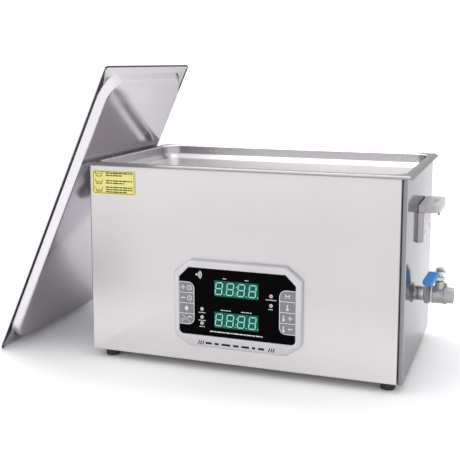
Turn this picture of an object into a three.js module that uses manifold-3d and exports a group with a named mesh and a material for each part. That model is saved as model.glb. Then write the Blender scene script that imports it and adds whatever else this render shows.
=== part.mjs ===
// Bench-top ultrasonic cleaner with a 30-litre tank, its lid leaning against the left side.
// Millimetres, +X to the right, +Y to the back, +Z up. The control panel faces -Y.
// Inside the "body" group the origin is on the floor, under the centre of the tank.
// The exported group moves all of it so that its origin is under the centre of everything.

import * as THREE from "three";
import { mergeVertices } from "three/addons/utils/BufferGeometryUtils.js";
import Module from "manifold-3d";

const wasm = await Module();
wasm.setup();

// ---------------------------------------------------------------- driving dimensions

const GAP = 0.3;                    // clearance between pieces that touch
const SHEET = 1.5;                  // stainless sheet
const ROUND = 20;                   // sides of an ordinary round piece
const SMALL_ROUND = 12;             // sides of a small or hidden round piece

const RIM = { length: 530, width: 330, top: 329, lipRun: 5, lipDrop: 4 };
const BASIN = { length: 500, width: 300, depth: 200, corner: 28, floorRound: 12 };
const LEDGE = { depth: 16, run: 9, drop: 8 };
const HOUSING = { length: 514, width: 314, bottom: 15, corner: 4.5 };
const FRONT_SEAM = { right: 250, groove: 2.2, fold: 10 };
const FOOT = { topRadius: 13, bottomRadius: 11, inset: 25 };

const BEZEL = { length: 210, height: 140, depth: 10, centreZ: 112, edge: 3 };
const CABLE_OPENING = { reach: 60, bottom: 82, top: 120 };
const WINDOW = { halfLength: 95, bottom: -50, top: 58, chamfer: 16, corner: 7 };
const OVERLAY = { front: 8.8, thickness: 2 };
const KEY = { pitch: 17, rows: 4, top: 34, inner: 71.2, outer: 94.2, corner: 9, front: 9.3, thickness: 3 };
const DISPLAY = { length: 72.5, height: 25.5, upperZ: 28, lowerZ: -22.5, front: 8.6 };
const LENS = { radius: 2.2, front: 8.9 };
const BOARD = { halfLength: 91, bottom: -46, top: 44, back: 1.6, thickness: 1.6 };
const NOTICE = { left: -250.6, right: -173.6, bottom: 277, top: 316.5, thickness: 0.5 };

const HANDLE = { width: 95, centreY: 15, reach: 33.5, top: 268, height: 13, wall: 3, corner: 10 };
const HANDLE_BASE = { bottom: 205, thickness: 9, corner: 8 };
const HANDLE_PIN = { out: 11.1, z: 256.5, radius: 1.25 };
const HANDLE_EAR = { offset: 30, width: 12, radius: 2.7 };

const VALVE = { axisZ: 117, drainX: 213, stemX: 291, bore: 8, ball: 9.2, port: 6.5, bodyRadius: 14.4 };
const NIPPLE = { start: 244.3, end: 272, radius: 10.3 };
const LEVER = { width: 14, thickness: 3, bottom: 37, bendOut: 24, tipOut: 46, tipDrop: 10.5, hub: 9 };
const LEVER_TURN = THREE.MathUtils.degToRad(-19);
const SLEEVE = { width: 18, grow: 2, start: 21 };

const LID = { length: 528, width: 342, pan: 500, panWidth: 318, rise: 14, draft: 3, corner: 45 };
const LID_EDGE = { depth: 1, corner: 10, lean: THREE.MathUtils.degToRad(66.2), centreY: -10 };

const TRANSDUCER = { columns: [-150, 0, 150], rows: [-65, 65], height: 58, radius: 22.5 };
const FAN = { size: 80, depth: 25, x: -120, z: 68, hole: 38 };
const INLET = { x: 165, z: 54 };
const SWITCH = { x: 115, z: 54, tilt: THREE.MathUtils.degToRad(10) };

const housingX = HOUSING.length / 2;
const housingY = HOUSING.width / 2;
const basinFloor = RIM.top - BASIN.depth;
const tankUnderside = basinFloor - SHEET;
const wallTop = RIM.top - SHEET - GAP;

// ---------------------------------------------------------------- materials

function finish(color, roughness, metalness) {
  return new THREE.MeshStandardMaterial({ color, roughness, metalness });
}

const MATERIAL = {
  housing: finish(0xd8d2d2, 0.35, 1),
  polished: finish(0xd4d4d8, 0.2, 1),
  bezel: finish(0xdcdce4, 0.4, 0.1),
  black: finish(0x050506, 0.15, 0),
  keys: finish(0x85868a, 0.5, 0),
  display: finish(0x1f5f52, 0.25, 0),
  lens: finish(0xe6e6e6, 0.3, 0),
  rubber: finish(0x1c1c1d, 0.8, 0),
  grey: finish(0xb9b8be, 0.5, 0),
  nickel: finish(0xa7a3a6, 0.4, 1),
  vinyl: finish(0x3a69be, 0.4, 0),
  board: finish(0x1d5a35, 0.6, 0),
  ceramic: finish(0xa9adb2, 0.45, 0.8),
  silicone: finish(0xb5562f, 0.7, 0),
  plastic: finish(0x232325, 0.5, 0),
  notice: finish(0xe8de8c, 0.6, 0),
  ptfe: finish(0xf2f2ee, 0.5, 0),
};

// ---------------------------------------------------------------- solid modelling helpers

/** Turns a closed three.js geometry into a manifold solid. */
function toSolid(geometry) {
  const bare = geometry.clone();
  bare.deleteAttribute("normal");
  bare.deleteAttribute("uv");
  const merged = mergeVertices(bare, 1e-4);
  const mesh = new wasm.Mesh({
    numProp: 3,
    vertProperties: new Float32Array(merged.attributes.position.array),
    triVerts: new Uint32Array(merged.index.array),
  });
  return new wasm.Manifold(mesh);
}

/** Turns a manifold solid back into a three.js geometry. */
function toGeometry(solid) {
  const mesh = solid.getMesh();
  const geometry = new THREE.BufferGeometry();
  geometry.setAttribute("position", new THREE.BufferAttribute(mesh.vertProperties, 3));
  geometry.setIndex(new THREE.BufferAttribute(mesh.triVerts, 1));
  geometry.computeVertexNormals();
  return geometry;
}

function join(first, ...others) {
  return toGeometry(others.reduce((sum, piece) => sum.add(toSolid(piece)), toSolid(first)));
}

function cut(first, ...tools) {
  return toGeometry(tools.reduce((rest, tool) => rest.subtract(toSolid(tool)), toSolid(first)));
}

/** A rectangular block between two opposite corners. */
function block([x0, y0, z0], [x1, y1, z1]) {
  const box = new THREE.BoxGeometry(x1 - x0, y1 - y0, z1 - z0);
  return box.translate((x0 + x1) / 2, (y0 + y1) / 2, (z0 + z1) / 2);
}

/** Turns a geometry made along +Y so that it runs along the named axis. */
function aim(geometry, axis) {
  if (axis === "x") return geometry.rotateZ(-Math.PI / 2);
  if (axis === "z") return geometry.rotateX(Math.PI / 2);
  return geometry;
}

/** A round bar along an axis between two coordinates; at holds its other two coordinates. */
function rod(axis, radius, from, to, at = [0, 0], sides = ROUND) {
  const bar = aim(new THREE.CylinderGeometry(radius, radius, to - from, sides), axis);
  const centre = [...at];
  centre.splice("xyz".indexOf(axis), 0, (from + to) / 2);
  return bar.translate(...centre);
}

/** A turned piece; profile lists [radius, distance along the axis]. */
function turned(axis, profile, sides = ROUND) {
  const points = profile.map(([radius, along]) => new THREE.Vector2(radius, along));
  return aim(new THREE.LatheGeometry(points, sides), axis);
}

/** A turned tube: an outer profile along +axis, closed by the bore on the way back. */
function turnedTube(axis, outer, bore, sides = ROUND) {
  return turned(axis, [...outer, ...[...bore].reverse(), outer[0]], sides);
}

/** A closed outline through [x, y, corner radius] points listed counter-clockwise. */
function outline(corners) {
  const shape = new THREE.Shape();
  corners.forEach(([x, y, radius = 0], i) => {
    const corner = new THREE.Vector2(x, y);
    const [px, py] = corners[(i + corners.length - 1) % corners.length];
    const [nx, ny] = corners[(i + 1) % corners.length];
    const back = new THREE.Vector2(px, py).sub(corner).normalize();
    const ahead = new THREE.Vector2(nx, ny).sub(corner).normalize();
    const half = Math.acos(THREE.MathUtils.clamp(back.dot(ahead), -1, 1)) / 2;
    const start = corner.clone().addScaledVector(back, radius / Math.tan(half));
    if (i === 0) shape.moveTo(start.x, start.y);
    else shape.lineTo(start.x, start.y);
    if (radius === 0) return;
    const middle = back.clone().add(ahead).normalize();
    const centre = corner.clone().addScaledVector(middle, radius / Math.sin(half));
    const end = corner.clone().addScaledVector(ahead, radius / Math.tan(half));
    const from = Math.atan2(start.y - centre.y, start.x - centre.x);
    const to = Math.atan2(end.y - centre.y, end.x - centre.x);
    const turnsRight = back.x * ahead.y - back.y * ahead.x > 0;
    shape.absarc(centre.x, centre.y, radius, from, to, turnsRight);
  });
  shape.closePath();
  return shape;
}

function rectangle(length, width, radius = 0) {
  const x = length / 2;
  const y = width / 2;
  return outline([[-x, -y, radius], [x, -y, radius], [x, y, radius], [-x, y, radius]]);
}

/** A prism of an outline, straight up from z = 0. */
function prism(shape, depth, curveSegments = 2) {
  return new THREE.ExtrudeGeometry(shape, { depth, bevelEnabled: false, curveSegments });
}

/** A prism whose two end faces are drawn in by a bevel, from z = 0 to z = depth. */
function bevelled(shape, depth, bevelSize, bevelThickness, bevelSegments = 1, curveSegments = 3) {
  const solid = new THREE.ExtrudeGeometry(shape, {
    depth: depth - 2 * bevelThickness,
    bevelEnabled: true,
    bevelSize,
    bevelOffset: -bevelSize,
    bevelThickness,
    bevelSegments,
    curveSegments,
  });
  return solid.translate(0, 0, bevelThickness);
}

/** A closed solid through rounded rectangles, listed from the bottom up as [length, width, corner, z]. */
function stacked(sections, cornerSegments = 4) {
  const corners = [[1, 1], [-1, 1], [-1, -1], [1, -1]];
  const around = corners.length * (cornerSegments + 1);
  const positions = [];
  for (const [length, width, radius, z] of sections) {
    corners.forEach(([sideX, sideY], quarter) => {
      for (let step = 0; step <= cornerSegments; step += 1) {
        const angle = (quarter + step / cornerSegments) * Math.PI / 2;
        const x = sideX * (length / 2 - radius) + radius * Math.cos(angle);
        const y = sideY * (width / 2 - radius) + radius * Math.sin(angle);
        positions.push(x, y, z);
      }
    });
  }
  const index = [];
  const topRing = around * (sections.length - 1);
  for (let i = 1; i < around - 1; i += 1) {
    index.push(0, i + 1, i, topRing, topRing + i, topRing + i + 1);
  }
  for (let ring = 0; ring < topRing; ring += around) {
    for (let i = 0; i < around; i += 1) {
      const low = ring + i;
      const next = ring + ((i + 1) % around);
      index.push(low, next, next + around, low, next + around, low + around);
    }
  }
  const geometry = new THREE.BufferGeometry();
  geometry.setAttribute("position", new THREE.Float32BufferAttribute(positions, 3));
  return geometry.setIndex(index);
}

/** Stands a prism up: the outline's y becomes height, and its depth runs towards -Y, the front. */
function facingFront(geometry) {
  return geometry.rotateX(Math.PI / 2);
}

/** Turns a prism sideways: the outline's x becomes Y, its y becomes height, its depth runs to +X. */
function facingRight(geometry) {
  return geometry.rotateX(Math.PI / 2).rotateZ(Math.PI / 2);
}

/** A prism of a side-view outline in X and Z, from y0 to y1. */
function sideProfile(corners, y0, y1) {
  return facingFront(prism(outline(corners), y1 - y0)).translate(0, y1, 0);
}

/** A hexagonal bar along +X, measured across its flats. */
function hexAlongX(acrossFlats, from, to) {
  return rod("x", acrossFlats / Math.sqrt(3), from, to, [0, 0], 6);
}

function add(parent, name, geometry, material, position = [0, 0, 0]) {
  const mesh = new THREE.Mesh(geometry, material);
  mesh.name = name;
  mesh.position.set(...position);
  parent.add(mesh);
  return mesh;
}

function subgroup(parent, position = [0, 0, 0]) {
  const group = new THREE.Group();
  group.position.set(...position);
  parent.add(group);
  return group;
}

// ---------------------------------------------------------------- tank and housing

/** A slab with a pointed edge that slopes out and down from its flat top at z = top. */
function rimSlab(length, width, top) {
  const deep = 3 * RIM.lipDrop;
  const slab = bevelled(rectangle(length, width), deep, RIM.lipRun, RIM.lipDrop);
  const skirt = RIM.lipDrop + 0.5;
  const waste = block([-length, -width, -1], [length, width, deep - skirt]);
  return cut(slab, waste).translate(0, 0, top - deep);
}

/** The room inside the basin, or its outside when grown by the sheet: it narrows at the ledge. */
function basinSections(margin, top) {
  const { length, width, corner, floorRound } = BASIN;
  const section = (inset, z) => {
    const grow = margin - inset;
    return [length + 2 * grow, width + 2 * grow, corner + grow, z];
  };
  const { run, depth, drop } = LEDGE;
  const floor = basinFloor - margin;
  const ledge = RIM.top - depth - margin / 2;
  const halfway = floorRound * (1 - Math.SQRT1_2);
  return [
    section(run + floorRound, floor),
    section(run + halfway, floor + halfway),
    section(run, floor + floorRound),
    section(run, ledge - drop),
    section(0, ledge),
    section(0, top),
  ];
}

function buildTank(parent) {
  const flange = rimSlab(RIM.length, RIM.width, RIM.top);
  const flangeHollow = rimSlab(RIM.length - 2 * SHEET, RIM.width - 2 * SHEET, RIM.top - SHEET);
  const outside = stacked(basinSections(SHEET, RIM.top));
  const inside = stacked(basinSections(0, RIM.top + 1));
  const drainHole = rod("z", VALVE.bore, tankUnderside - 5, basinFloor + 5, [VALVE.drainX, 0]);
  const shell = cut(join(cut(flange, flangeHollow), outside), inside, drainHole);
  add(parent, "tank", shell, MATERIAL.polished);
}

/** Plan of the wrap-round sheet: left, back and right walls with a short return at the right front. */
function wrapPlan(inset, leftFront, rightEnd) {
  const x = housingX - inset;
  const y = housingY - inset;
  const radius = HOUSING.corner - inset;
  return [
    [rightEnd, -y], [x, -y, radius], [x, y, radius], [-x, y, radius], [-x, leftFront],
  ];
}

function buildHousing(parent) {
  const bottom = HOUSING.bottom;
  const rightEnd = FRONT_SEAM.right + FRONT_SEAM.groove;
  const leftFront = -housingY + FRONT_SEAM.fold + GAP;
  const inside = wrapPlan(SHEET, leftFront, rightEnd).reverse();
  const walls = prism(outline([...wrapPlan(0, leftFront, rightEnd), ...inside]), wallTop - bottom);
  const backHole = ({ x, z }, halfLength, halfHeight) => block(
    [x - halfLength, housingY - 5, z - halfHeight],
    [x + halfLength, housingY + 5, z + halfHeight],
  );
  const fanHole = rod("y", FAN.hole, housingY - 5, housingY + 5, [FAN.x, FAN.z]);
  const inletHole = backHole(INLET, 15, 11);
  const switchHole = backHole(SWITCH, 10.5, 14.5);
  const drainHole = rod("x", NIPPLE.radius + 0.6, housingX - 5, housingX + 5, [0, VALVE.axisZ]);
  add(
    parent, "housing_wrap",
    cut(walls.translate(0, 0, bottom), fanHole, inletHole, switchHole, drainHole),
    MATERIAL.housing,
  );

  const { right, fold } = FRONT_SEAM;
  const cables = CABLE_OPENING;
  const pan = cut(
    block([-housingX, -housingY, bottom], [right, -housingY + fold, wallTop]),
    block([-housingX + SHEET, -housingY + SHEET, bottom + SHEET], [right - SHEET, 0, wallTop - SHEET]),
    block([-housingX + fold, -housingY + 4, bottom + 20], [right - fold, 0, wallTop + 5]),
    block([-cables.reach, -housingY - 1, cables.bottom], [cables.reach, -housingY + 5, cables.top]),
  );
  add(parent, "front_panel", pan, MATERIAL.housing);

  const x = housingX - SHEET - GAP;
  const y = housingY - SHEET - GAP;
  const front = -housingY + fold + GAP;
  const plan = [[-x, front], [x, front], [x, y, 3], [-x, y, 3]];
  const tray = cut(
    prism(outline(plan), 12).translate(0, 0, bottom),
    block([-x + SHEET, front + SHEET, bottom + SHEET], [x - SHEET, y - SHEET, bottom + 20]),
    ...ventSlots(bottom),
  );
  add(parent, "base_plate", tray, MATERIAL.housing);
}

/** Two rows of cooling slots through the base plate. */
function ventSlots(bottom) {
  const slots = [];
  for (const rowY of [-105, 105]) {
    for (let column = 0; column < 6; column += 1) {
      const x = -75 + 30 * column;
      slots.push(block([x - 3, rowY - 22, bottom - 1], [x + 3, rowY + 22, bottom + 5]));
    }
  }
  return slots;
}

function buildFeet(parent) {
  const top = HOUSING.bottom - GAP;
  const profile = [
    [0, 4], [4.5, 4], [4.5, 0], [FOOT.bottomRadius - 1, 0], [FOOT.bottomRadius, 1],
    [FOOT.topRadius, top], [0, top],
  ];
  for (const [depth, sideY] of [["front", -1], ["back", 1]]) {
    for (const [side, sideX] of [["left", -1], ["right", 1]]) {
      const position = [sideX * (housingX - FOOT.inset), sideY * (housingY - FOOT.inset), 0];
      add(parent, `foot_${depth}_${side}`, turned("z", profile), MATERIAL.rubber, position);
    }
  }
}

// ---------------------------------------------------------------- control panel

/** Outline of the black window, grown by a margin. */
function windowOutline(margin) {
  const { halfLength, bottom, top, chamfer, corner } = WINDOW;
  const x = halfLength + margin;
  const low = bottom - margin;
  const high = top + margin;
  return outline([
    [-x, low, corner], [x, low, corner], [x, high - chamfer, 2], [x - chamfer, high, 2],
    [-x + chamfer, high, 2], [-x, high - chamfer, 2],
  ]);
}

/** Outline of the bezel: cut corners at the top and softer ones at the bottom. */
function bezelOutline() {
  const x = BEZEL.length / 2;
  const z = BEZEL.height / 2;
  return outline([
    [-x + 25, -z, 10], [x - 25, -z, 10], [x, -z + 17, 10], [x, z - 20, 6],
    [x - 26, z, 6], [-x + 26, z, 6], [-x, z - 20, 6], [-x, -z + 17, 10],
  ]);
}

/** Height of a key's middle above the bezel's centre; row 0 is at the top. */
function keyRowZ(row) {
  return KEY.top - KEY.pitch * (row + 0.5);
}

/** Outline of one key on the right column, grown by a margin; mirrored for the left column. */
function keyOutline(row, side, margin) {
  const inner = KEY.inner - margin;
  const outer = KEY.outer + margin;
  const half = KEY.pitch / 2 - 0.9 + margin;
  const topRadius = row === 0 ? KEY.corner : 0.6;
  const bottomRadius = row === KEY.rows - 1 ? KEY.corner : 0.6;
  const corners = [[inner, -half, bottomRadius], [outer, -half], [outer, half], [inner, half, topRadius]];
  if (side > 0) return outline(corners);
  return outline(corners.map(([x, z, radius]) => [-x, z, radius]).reverse());
}

/** A plate standing on the panel: an outline between two distances in front of the housing. */
function frontPlate(shape, back, front, curveSegments = 2) {
  return facingFront(prism(shape, front - back, curveSegments)).translate(0, -back, 0);
}

/** A round peg standing out from the panel between two distances in front of it. */
function frontPeg(radius, back, front, x, z) {
  return rod("y", radius, -front, -back, [x, z], SMALL_ROUND);
}

/** A row of indicator lenses joined by one strip behind the overlay. */
function lightGuide(x, heights) {
  const lensBack = BOARD.back + BOARD.thickness + GAP;
  const strip = block(
    [x - 3, -lensBack - 2, Math.min(...heights) - 3],
    [x + 3, -lensBack, Math.max(...heights) + 3],
  );
  return join(strip, ...heights.map((z) => frontPeg(LENS.radius, lensBack, LENS.front, x, z)));
}

function buildControlPanel(parent) {
  const panel = subgroup(parent, [0, -housingY, BEZEL.centreZ]);
  const deep = 2 * BEZEL.depth;
  const slab = facingFront(bevelled(bezelOutline(), deep, BEZEL.edge, BEZEL.edge, 2, 2));
  const bezel = cut(
    slab.translate(0, BEZEL.depth, 0),
    block([-200, -GAP, -200], [200, 100, 200]),
    frontPlate(windowOutline(GAP), -1, deep),
  );
  add(panel, "control_bezel", bezel, MATERIAL.bezel);

  const indicatorsLeft = { x: -56.7, heights: [-7.5, -20.5, -30.5] };
  const indicatorsRight = { x: 56.5, heights: [23.4, 8.4] };
  const overlayBack = OVERLAY.front - OVERLAY.thickness;
  const openings = [];
  for (const side of [-1, 1]) {
    for (let row = 0; row < KEY.rows; row += 1) {
      const hole = frontPlate(keyOutline(row, side, GAP), 0, 20);
      openings.push(hole.translate(0, 0, keyRowZ(row)));
    }
  }
  for (const { x, heights } of [indicatorsLeft, indicatorsRight]) {
    for (const z of heights) openings.push(frontPeg(LENS.radius + GAP, 0, 20, x, z));
  }
  for (const z of [DISPLAY.upperZ, DISPLAY.lowerZ]) {
    const hole = rectangle(DISPLAY.length + 2 * GAP, DISPLAY.height + 2 * GAP);
    openings.push(frontPlate(hole, 0, 20).translate(0, 0, z));
  }
  const face = frontPlate(windowOutline(0), overlayBack, OVERLAY.front);
  add(panel, "control_overlay", cut(face, ...openings), MATERIAL.black);

  for (const [sideName, side] of [["left", -1], ["right", 1]]) {
    for (let row = 0; row < KEY.rows; row += 1) {
      const key = frontPlate(keyOutline(row, side, 0), KEY.front - KEY.thickness, KEY.front);
      add(panel, `key_${sideName}_${row + 1}`, key, MATERIAL.keys, [0, 0, keyRowZ(row)]);
    }
  }

  const displayBack = BOARD.back + BOARD.thickness + GAP;
  const module = frontPlate(rectangle(DISPLAY.length, DISPLAY.height), displayBack, DISPLAY.front);
  add(panel, "display_upper", module, MATERIAL.display, [0, 0, DISPLAY.upperZ]);
  add(panel, "display_lower", module.clone(), MATERIAL.display, [0, 0, DISPLAY.lowerZ]);

  const left = lightGuide(indicatorsLeft.x, indicatorsLeft.heights);
  const right = lightGuide(indicatorsRight.x, indicatorsRight.heights);
  add(panel, "light_guide_left", left, MATERIAL.lens);
  add(panel, "light_guide_right", right, MATERIAL.lens);

  const boardFront = BOARD.back + BOARD.thickness;
  const { halfLength, bottom, top } = BOARD;
  const plate = block([-halfLength, -boardFront, bottom], [halfLength, -BOARD.back, top]);
  const switches = [];
  for (const x of [-82.5, 82.5]) {
    for (let row = 0; row < KEY.rows; row += 1) {
      const stroke = 1.2;
      const switchFront = KEY.front - KEY.thickness - stroke;
      switches.push(frontPeg(3, BOARD.back, switchFront, x, keyRowZ(row)));
    }
  }
  add(panel, "control_board", join(plate, ...switches), MATERIAL.board);

  const notice = block(
    [NOTICE.left, -housingY - GAP - NOTICE.thickness, NOTICE.bottom],
    [NOTICE.right, -housingY - GAP, NOTICE.top],
  );
  add(parent, "notice_label", notice, MATERIAL.notice);
}

// ---------------------------------------------------------------- folding side handles

/** A bar along the handle's pin axis, reaching half to each side of the middle. */
function pinBar(radius, half) {
  return rod("y", radius, -half, half, [HANDLE_PIN.out, HANDLE_PIN.z], SMALL_ROUND);
}

/** The base plate of a handle, with two ears that carry the pin; x = 0 is the housing wall. */
function handleBase() {
  const half = HANDLE.width / 2;
  const top = HANDLE.top - HANDLE.height - GAP;
  const { bottom, thickness, corner } = HANDLE_BASE;
  const face = outline([[-half, bottom, corner], [half, bottom, corner], [half, top], [-half, top]]);
  const plate = facingRight(prism(face, thickness)).translate(GAP, 0, 0);
  const { radius, width, offset } = HANDLE_EAR;
  const pieces = [];
  for (const side of [-1, 1]) {
    const y0 = side * offset - width / 2;
    const y1 = side * offset + width / 2;
    pieces.push(rod("y", radius, y0, y1, [HANDLE_PIN.out, HANDLE_PIN.z], SMALL_ROUND));
    const arm = block(
      [HANDLE_PIN.out - 6, y0, HANDLE_PIN.z - radius],
      [HANDLE_PIN.out, y1, HANDLE_PIN.z + radius],
    );
    pieces.push(arm);
  }
  const pinHole = pinBar(HANDLE_PIN.radius + GAP, half);
  return cut(join(plate, ...pieces), pinHole);
}

/** The grip: a tray open below, with rounded outer corners; x = 0 is the housing wall. */
function handleGrip() {
  const half = HANDLE.width / 2;
  const { reach, wall, corner, height, top } = HANDLE;
  const inner = 0.5;
  const plan = outline([[inner, -half], [reach, -half, corner], [reach, half, corner], [inner, half]]);
  const hollowPlan = outline([
    [inner + wall, -half + wall], [reach - wall, -half + wall, corner - wall],
    [reach - wall, half - wall, corner - wall], [inner + wall, half - wall],
  ]);
  const tray = prism(plan, height).translate(0, 0, top - height);
  const hollow = prism(hollowPlan, height).translate(0, 0, top - height - wall);
  const softEdge = sideProfile(
    [[reach - 2, top + 1], [reach + 1, top - 2], [reach + 1, top + 1]],
    -half, half,
  );
  return cut(tray, hollow, softEdge, pinBar(HANDLE_PIN.radius + GAP, half - wall / 2));
}

function handlePin() {
  return pinBar(HANDLE_PIN.radius, HANDLE.width / 2 - HANDLE.wall / 2 - GAP);
}

/** One handle; folded turns its grip down about the pin. */
function buildHandle(parent, name, side, folded) {
  const handle = subgroup(parent, [side * housingX, HANDLE.centreY, 0]);
  if (side < 0) handle.rotation.z = Math.PI;
  add(handle, `handle_base_${name}`, handleBase(), MATERIAL.grey);
  const turning = subgroup(handle, [HANDLE_PIN.out, 0, HANDLE_PIN.z]);
  turning.rotation.y = folded ? Math.PI / 2 : 0;
  const offset = [-HANDLE_PIN.out, 0, -HANDLE_PIN.z];
  add(turning, `handle_grip_${name}`, handleGrip(), MATERIAL.grey, offset);
  add(turning, `handle_pin_${name}`, handlePin(), MATERIAL.nickel, offset);
}

// ---------------------------------------------------------------- drain line and ball valve

function buildDrain(parent) {
  const { axisZ, drainX, bore } = VALVE;
  const pipe = 10;
  const top = tankUnderside - GAP;
  const elbow = join(
    rod("z", pipe, axisZ, top, [drainX, 0]),
    rod("z", pipe + 4, top - 3, top, [drainX, 0]),
    new THREE.SphereGeometry(pipe, ROUND, SMALL_ROUND).translate(drainX, 0, axisZ),
    rod("x", pipe, drainX, NIPPLE.start - GAP, [0, axisZ]),
  );
  const passages = [
    rod("z", bore, axisZ, top + 1, [drainX, 0]),
    rod("x", bore, drainX, 250, [0, axisZ]),
  ];
  add(parent, "drain_elbow", cut(elbow, ...passages), MATERIAL.nickel);

  const valve = subgroup(parent, [0, 0, axisZ]);
  const nipple = turnedTube(
    "x",
    [
      [NIPPLE.radius, NIPPLE.start], [NIPPLE.radius, 257.3], [11.7, 257.3], [11.7, 266.7],
      [10.2, 266.7], [10.2, NIPPLE.end],
    ],
    [[bore, NIPPLE.start], [bore, NIPPLE.end]],
  );
  add(valve, "drain_nipple", nipple, MATERIAL.nickel);
  const nut = cut(hexAlongX(30, 249.5, 255.2), rod("x", NIPPLE.radius + GAP, 240, 260));
  add(valve, "drain_locknut", nut, MATERIAL.nickel);

  const capHex = join(hexAlongX(29, 267, 276), rod("x", 9.2, 276, 278.5));
  const capBore = [rod("x", 10.5, 260, NIPPLE.end + GAP), rod("x", VALVE.port, 270, 280)];
  add(valve, "valve_end_cap", cut(capHex, ...capBore), MATERIAL.nickel);

  buildValveBody(valve);
  buildValveSeats(valve);
  buildValveStem(valve);
}

function buildValveBody(valve) {
  const { bodyRadius, bore, stemX } = VALVE;
  const shell = turnedTube(
    "x",
    [
      [13.2, 276.3], [13.2, 279], [bodyRadius, 279.5], [bodyRadius, 298.5], [15, 298.5],
      [15, 303], [12.8, 303], [12.8, 312.5], [11.8, 313.5],
    ],
    [[9.5, 276.3], [9.5, 299.5], [bore, 299.5], [bore, 313.5]],
  );
  const neck = turnedTube(
    "z",
    [[8, 11.5], [8, 20], [7, 23.5], [5.8, 25]],
    [[4.3, 11.5], [4.3, 25]],
  ).translate(stemX, 0, 0);
  const neckHole = rod("z", 4.3, 5, 20, [stemX, 0]);
  const stopLug = rod("z", 2.2, 12, 19.5, [300.8, 0], SMALL_ROUND);
  const cavity = rod("x", 9.5, 276.3, 299.5);
  const body = cut(join(shell, neck, stopLug), neckHole, cavity, rod("x", bore, 299, 320));
  add(valve, "valve_body", body, MATERIAL.nickel);
}

/** Two rings that hold the ball, one on each side of it. */
function buildValveSeats(valve) {
  const { ball, port, stemX } = VALVE;
  const ring = [[port, 7.3], [ball, 3.6], [ball, 8.2], [port, 8.2], [port, 7.3]];
  add(valve, "valve_seat_outlet", turned("x", ring), MATERIAL.ptfe, [stemX, 0, 0]);
  const mirrored = ring.map(([radius, along]) => [radius, -along]).reverse();
  const stretched = mirrored.map(([radius, along]) => [radius, along < -8 ? -12.2 : along]);
  add(valve, "valve_seat_inlet", turned("x", stretched), MATERIAL.ptfe, [stemX, 0, 0]);
}

/** The ball, stem, nut and lever that turn together about the upright stem. */
function buildValveStem(valve) {
  const { ball, port, stemX } = VALVE;
  const turning = subgroup(valve, [stemX, 0, 0]);
  const sphere = new THREE.SphereGeometry(ball, ROUND, SMALL_ROUND);
  add(turning, "valve_ball", cut(sphere, rod("y", port, -20, 20)), MATERIAL.polished);
  add(turning, "valve_stem", rod("z", 4, ball + GAP, 43.6, [0, 0], SMALL_ROUND), MATERIAL.nickel);

  const hubHole = rod("z", 4.3, 20, 60, [0, 0], SMALL_ROUND);
  const { width, thickness, bottom, hub } = LEVER;
  const hubDisc = rod("z", hub, bottom, bottom + thickness);
  const arm = leverBar(0, width, 0, 0).rotateZ(LEVER_TURN);
  add(turning, "valve_lever", cut(join(arm, hubDisc), hubHole), MATERIAL.nickel);

  const sleeve = cut(
    leverBar(SLEEVE.grow, SLEEVE.width, SLEEVE.start, SLEEVE.grow),
    leverBar(GAP, width + 2 * GAP, SLEEVE.start - 2, GAP),
  );
  add(turning, "lever_sleeve", sleeve.rotateZ(LEVER_TURN), MATERIAL.vinyl);

  const nutBottom = bottom + thickness + GAP;
  const nut = rod("z", 6.6, nutBottom, 44, [0, 0], 6);
  add(turning, "valve_lever_nut", cut(nut, hubHole), MATERIAL.nickel);
}

/** The cranked lever, grown by a margin: flat from the stem, then sloping down to its tip. */
function leverBar(margin, width, start, extra) {
  const { thickness, bottom, bendOut, tipOut, tipDrop } = LEVER;
  const length = Math.hypot(tipOut - bendOut, tipDrop);
  const along = new THREE.Vector2(-(tipOut - bendOut), -tipDrop).divideScalar(length);
  const up = new THREE.Vector2(along.y, -along.x);
  const point = (out, low, offset) => new THREE.Vector2(-out, low).addScaledVector(up, offset);
  const tipLow = point(tipOut, bottom - tipDrop, -margin).addScaledVector(along, extra);
  const tipHigh = point(tipOut, bottom - tipDrop, thickness + margin).addScaledVector(along, extra);
  const corners = [
    [-start, bottom - margin], [-start, bottom + thickness + margin],
    [-bendOut, bottom + thickness + margin], [tipHigh.x, tipHigh.y], [tipLow.x, tipLow.y],
    [-bendOut - margin / 3, bottom - margin],
  ];
  return facingRight(prism(outline(corners), width)).translate(-width / 2, 0, 0);
}

// ---------------------------------------------------------------- working parts inside

function buildTransducers(parent) {
  const { columns, rows, height, radius } = TRANSDUCER;
  const top = tankUnderside - GAP;
  const profile = [
    [0, -height], [16, -height], [16, -height + 20], [12.5, -height + 20], [12.5, -height + 34],
    [radius, 0], [0, 0],
  ];
  let number = 1;
  for (const x of columns) {
    for (const y of rows) {
      const horn = turned("z", profile, SMALL_ROUND);
      add(parent, `transducer_${number}`, horn, MATERIAL.ceramic, [x, y, top]);
      number += 1;
    }
  }
}

function buildHeating(parent) {
  const near = BASIN.width / 2 - LEDGE.run + SHEET + GAP;
  for (const [name, side] of [["front", -1], ["back", 1]]) {
    const pad = new THREE.BoxGeometry(320, 2, 130);
    add(parent, `heater_pad_${name}`, pad, MATERIAL.silicone, [0, side * (near + 1), 230]);
  }
  const place = [-212, 60];
  const probe = join(
    rod("z", 4, tankUnderside - 14, tankUnderside - GAP, place, SMALL_ROUND),
    rod("z", 7, tankUnderside - 3, tankUnderside - GAP, place, SMALL_ROUND),
  );
  add(parent, "temperature_sensor", probe, MATERIAL.nickel);
}

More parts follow.
